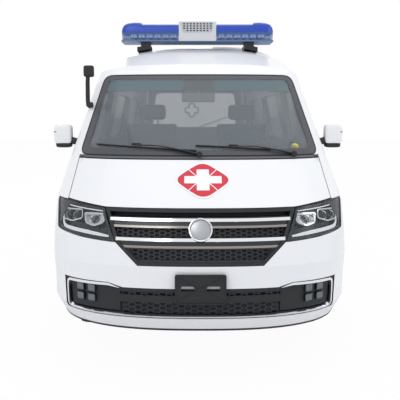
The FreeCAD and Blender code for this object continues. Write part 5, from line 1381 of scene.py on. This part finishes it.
def corner_place(turn, z, lift):
    """A point of the rear corner on the left: turn runs from 0 at the back to 90 at the side."""
    half = level_at(z)[1]
    angle = math.radians(turn)
    radius = 0.150
    return Vector((half - radius + (radius + lift) * math.sin(angle), tail_y(z) - radius + (radius
        + lift) * math.cos(angle), z))


CORNER_DEGREE = 0.0026


def corner_sheet(low_z, high_z):
    """A lamp lens round the rear corner between two heights."""
    def place(along, z, lift):
        return corner_place(along / CORNER_DEGREE, z, lift)

    loop = rounded(rect(16 * CORNER_DEGREE, low_z, 70 * CORNER_DEGREE, high_z), 0.010, 3)
    return sheet([loop], place, 0.0005, -0.006, (0.020, 0.06))


for colour, finish, heights in (("red", RED_LENS, ((1.122, 1.340), (0.860, 0.972))), ("amber",
        AMBER_LENS, ((1.052, 1.118),)), ("clear", LENS, ((0.976, 1.048),))):
    merged(f"tail_lens_{colour}", both_sides([corner_sheet(*height) for height in heights]), finish,
        "body")
gate_window = rounded(even(0.600, 1.335, 0.552, 1.815), 0.070)
merged("gate_seal", [tail_sheet([inset(gate_window, -0.016), inset(gate_window, 0.006)], 0.0018, -0.004)],
       RUBBER, "tailgate")
CROSS_OUT = [(-0.030, -0.085), (0.030, -0.085), (0.030, -0.030), (0.085, -0.030), (0.085, 0.030),
    (0.030, 0.030), (0.030, 0.085), (-0.030, 0.085), (-0.030, 0.030), (-0.085, 0.030), (-0.085, -0.030),
    (-0.030, -0.030)]
rear_cross = rounded(shifted(CROSS_OUT, -0.045, 1.575), 0.014, 4)
merged("gate_cross", [tail_sheet([inset(rear_cross, -0.014), inset(rear_cross, 0.001)], -0.0080,
    -0.0088)], GREY_VINYL, "tailgate")
merged("high_brake_lamp", [tail_sheet([rounded(rect(-0.150, 1.858, 0.150, 1.884), 0.008, 3)], 0.0005,
    -0.004)], RED_LENS, "tailgate")
plate_recess = rounded(rect(-0.275, 1.020, 0.275, 1.160), 0.022)
merged("gate_recess", [tail_sheet([plate_recess, inset(plate_recess, 0.014)], 0.0018, -0.004),
    tail_sheet([rounded(even(0.300, 1.178, 0.285, 1.222), 0.012, 3)], 0.010, -0.004)], BLACK_PLASTIC,
    "tailgate")
merged("gate_plate_blank", [tail_sheet([inset(plate_recess, 0.020)], 0.0012, -0.001)], SATIN_METAL,
    "tailgate")
merged("gate_handle", [tail_sheet([rounded(rect(-0.260, 1.186, 0.260, 1.212), 0.010, 3)], 0.0135,
    0.009)], CHROME, "tailgate")
gate_wiper = [Vector((0.02, tail_y(1.300) + 0.013, 1.296)), Vector((0.10, tail_y(1.35) + 0.012, 1.350)),
    Vector((0.34, tail_y(1.44) + 0.010, 1.440))]
merged("gate_wiper", [tube_part(gate_wiper, [0.011, 0.007, 0.005], 12, 0.8), tube_part([Vector((0.12,
    tail_y(1.365) + 0.006, 1.360)), Vector((0.50, tail_y(1.50) + 0.006, 1.500))], 0.0055, 8),
    lathe_part([(-0.004, 0.0), (-0.004, 0.022), (0.012, 0.022), (0.018, 0.014), (0.018, 0.0)],
    Vector((0.02, tail_y(1.296), 1.296)), "y", 28)], BLACK_PLASTIC, "tailgate", 50)
pad_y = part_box("rear_bumper")[1][1]
pad = rounded(rect(-0.640, 0.5585, 0.640, 0.600), 0.012, 3)


def rear_place(x, z, lift):
    return Vector((x, pad_y + lift, z))


merged("bumper_pad", [sheet([shifted(pad, 0, -0.055)], rear_place, -0.0002, -0.004, (1.0, 1.0))], RUBBER)
merged("rear_reflectors", both_sides([sheet([rounded(rect(0.560, 0.420, 0.700, 0.452), 0.006, 3)],
    rear_place, -0.0002, -0.004, (1.0, 1.0))]), RED_LENS, "body")

# Floor, light and camera


bpy.ops.mesh.primitive_grid_add(x_subdivisions=2, y_subdivisions=2, size=60, location=(0, 0, 0))
floor = bpy.context.object
floor.name = "floor"
ground = material("studio floor", "#F4F4F4", 0.85, variation=0.01, cloud_mm=2500)
tree = ground.node_tree
glow = add_node(tree, "ShaderNodeEmission", Color=(1, 1, 1, 1), Strength=1.0)
path = add_node(tree, "ShaderNodeLightPath")
share = add_node(tree, "ShaderNodeMath")
share.operation = "MULTIPLY"
share.inputs[1].default_value = 0.96
blend_in = add_node(tree, "ShaderNodeMixShader")
join(tree, (path.outputs["Is Camera Ray"], share.inputs[0]),
     (share.outputs[0], blend_in.inputs[0]),
     (tree.nodes["Principled BSDF"].outputs[0], blend_in.inputs[1]),
     (glow.outputs[0], blend_in.inputs[2]),
     (blend_in.outputs[0], tree.nodes["Material Output"].inputs["Surface"]))
floor.data.materials.append(ground)

world = bpy.data.worlds.new("studio")
bpy.context.scene.world = world
world.use_nodes = True
tree = world.node_tree
tree.nodes.clear()
soft = add_node(tree, "ShaderNodeBackground", Color=(0.93, 0.95, 1.0, 1), Strength=0.76)
white = add_node(tree, "ShaderNodeBackground", Color=(1, 1, 1, 1), Strength=1.0)
path = add_node(tree, "ShaderNodeLightPath")
either = add_node(tree, "ShaderNodeMath")
either.operation = "MAXIMUM"
choose = add_node(tree, "ShaderNodeMixShader")
out = add_node(tree, "ShaderNodeOutputWorld")
either_way = add_node(tree, "ShaderNodeMath")
either_way.operation = "MAXIMUM"
join(tree, (path.outputs["Is Camera Ray"], either.inputs[0]),
     (path.outputs["Is Transmission Ray"], either.inputs[1]), (either.outputs[0], either_way.inputs[0]),
     (path.outputs["Is Glossy Ray"], either_way.inputs[1]), (either_way.outputs[0], choose.inputs[0]),
     (soft.outputs[0], choose.inputs[1]), (white.outputs[0], choose.inputs[2]),
     (choose.outputs[0], out.inputs["Surface"]))


def lamp(name, place, aim, size, power):
    """A large soft light at place that points to aim."""
    data = bpy.data.lights.new(name, "AREA")
    data.shape = "RECTANGLE"
    data.size, data.size_y = size
    data.energy = power
    made = bpy.data.objects.new(name, data)
    made.location = place
    made.rotation_euler = (Vector(aim) - Vector(place)).to_track_quat("-Z", "Y").to_euler()
    bpy.context.scene.collection.objects.link(made)


lamp("light_front", (-3.0, -7.0, 5.5), (0, -1.0, 0.9), (5.0, 3.0), 110)
lamp("light_above", (0.5, 0.5, 7.0), (0, 0, 1.0), (6.0, 6.0), 85)
lamp("light_right", (5.5, -3.0, 4.0), (0, -0.5, 1.0), (4.0, 3.0), 60)
lamp("light_back", (-2.0, 7.5, 4.5), (0, 1.0, 1.2), (5.0, 3.0), 120)

camera_data = bpy.data.cameras.new("camera")
camera = bpy.data.objects.new("camera", camera_data)
camera.location = (-0.05, -5.253, 1.477)
camera.rotation_euler = (math.radians(90 - 6.59), 0, 0)
camera_data.lens = 47.97
camera_data.sensor_width = 36
camera_data.shift_x = 0.0215
camera_data.shift_y = -0.053
camera_data.clip_start = 0.05
bpy.context.scene.collection.objects.link(camera)
bpy.context.scene.camera = camera

bpy.context.scene.view_settings.view_transform = "Standard"
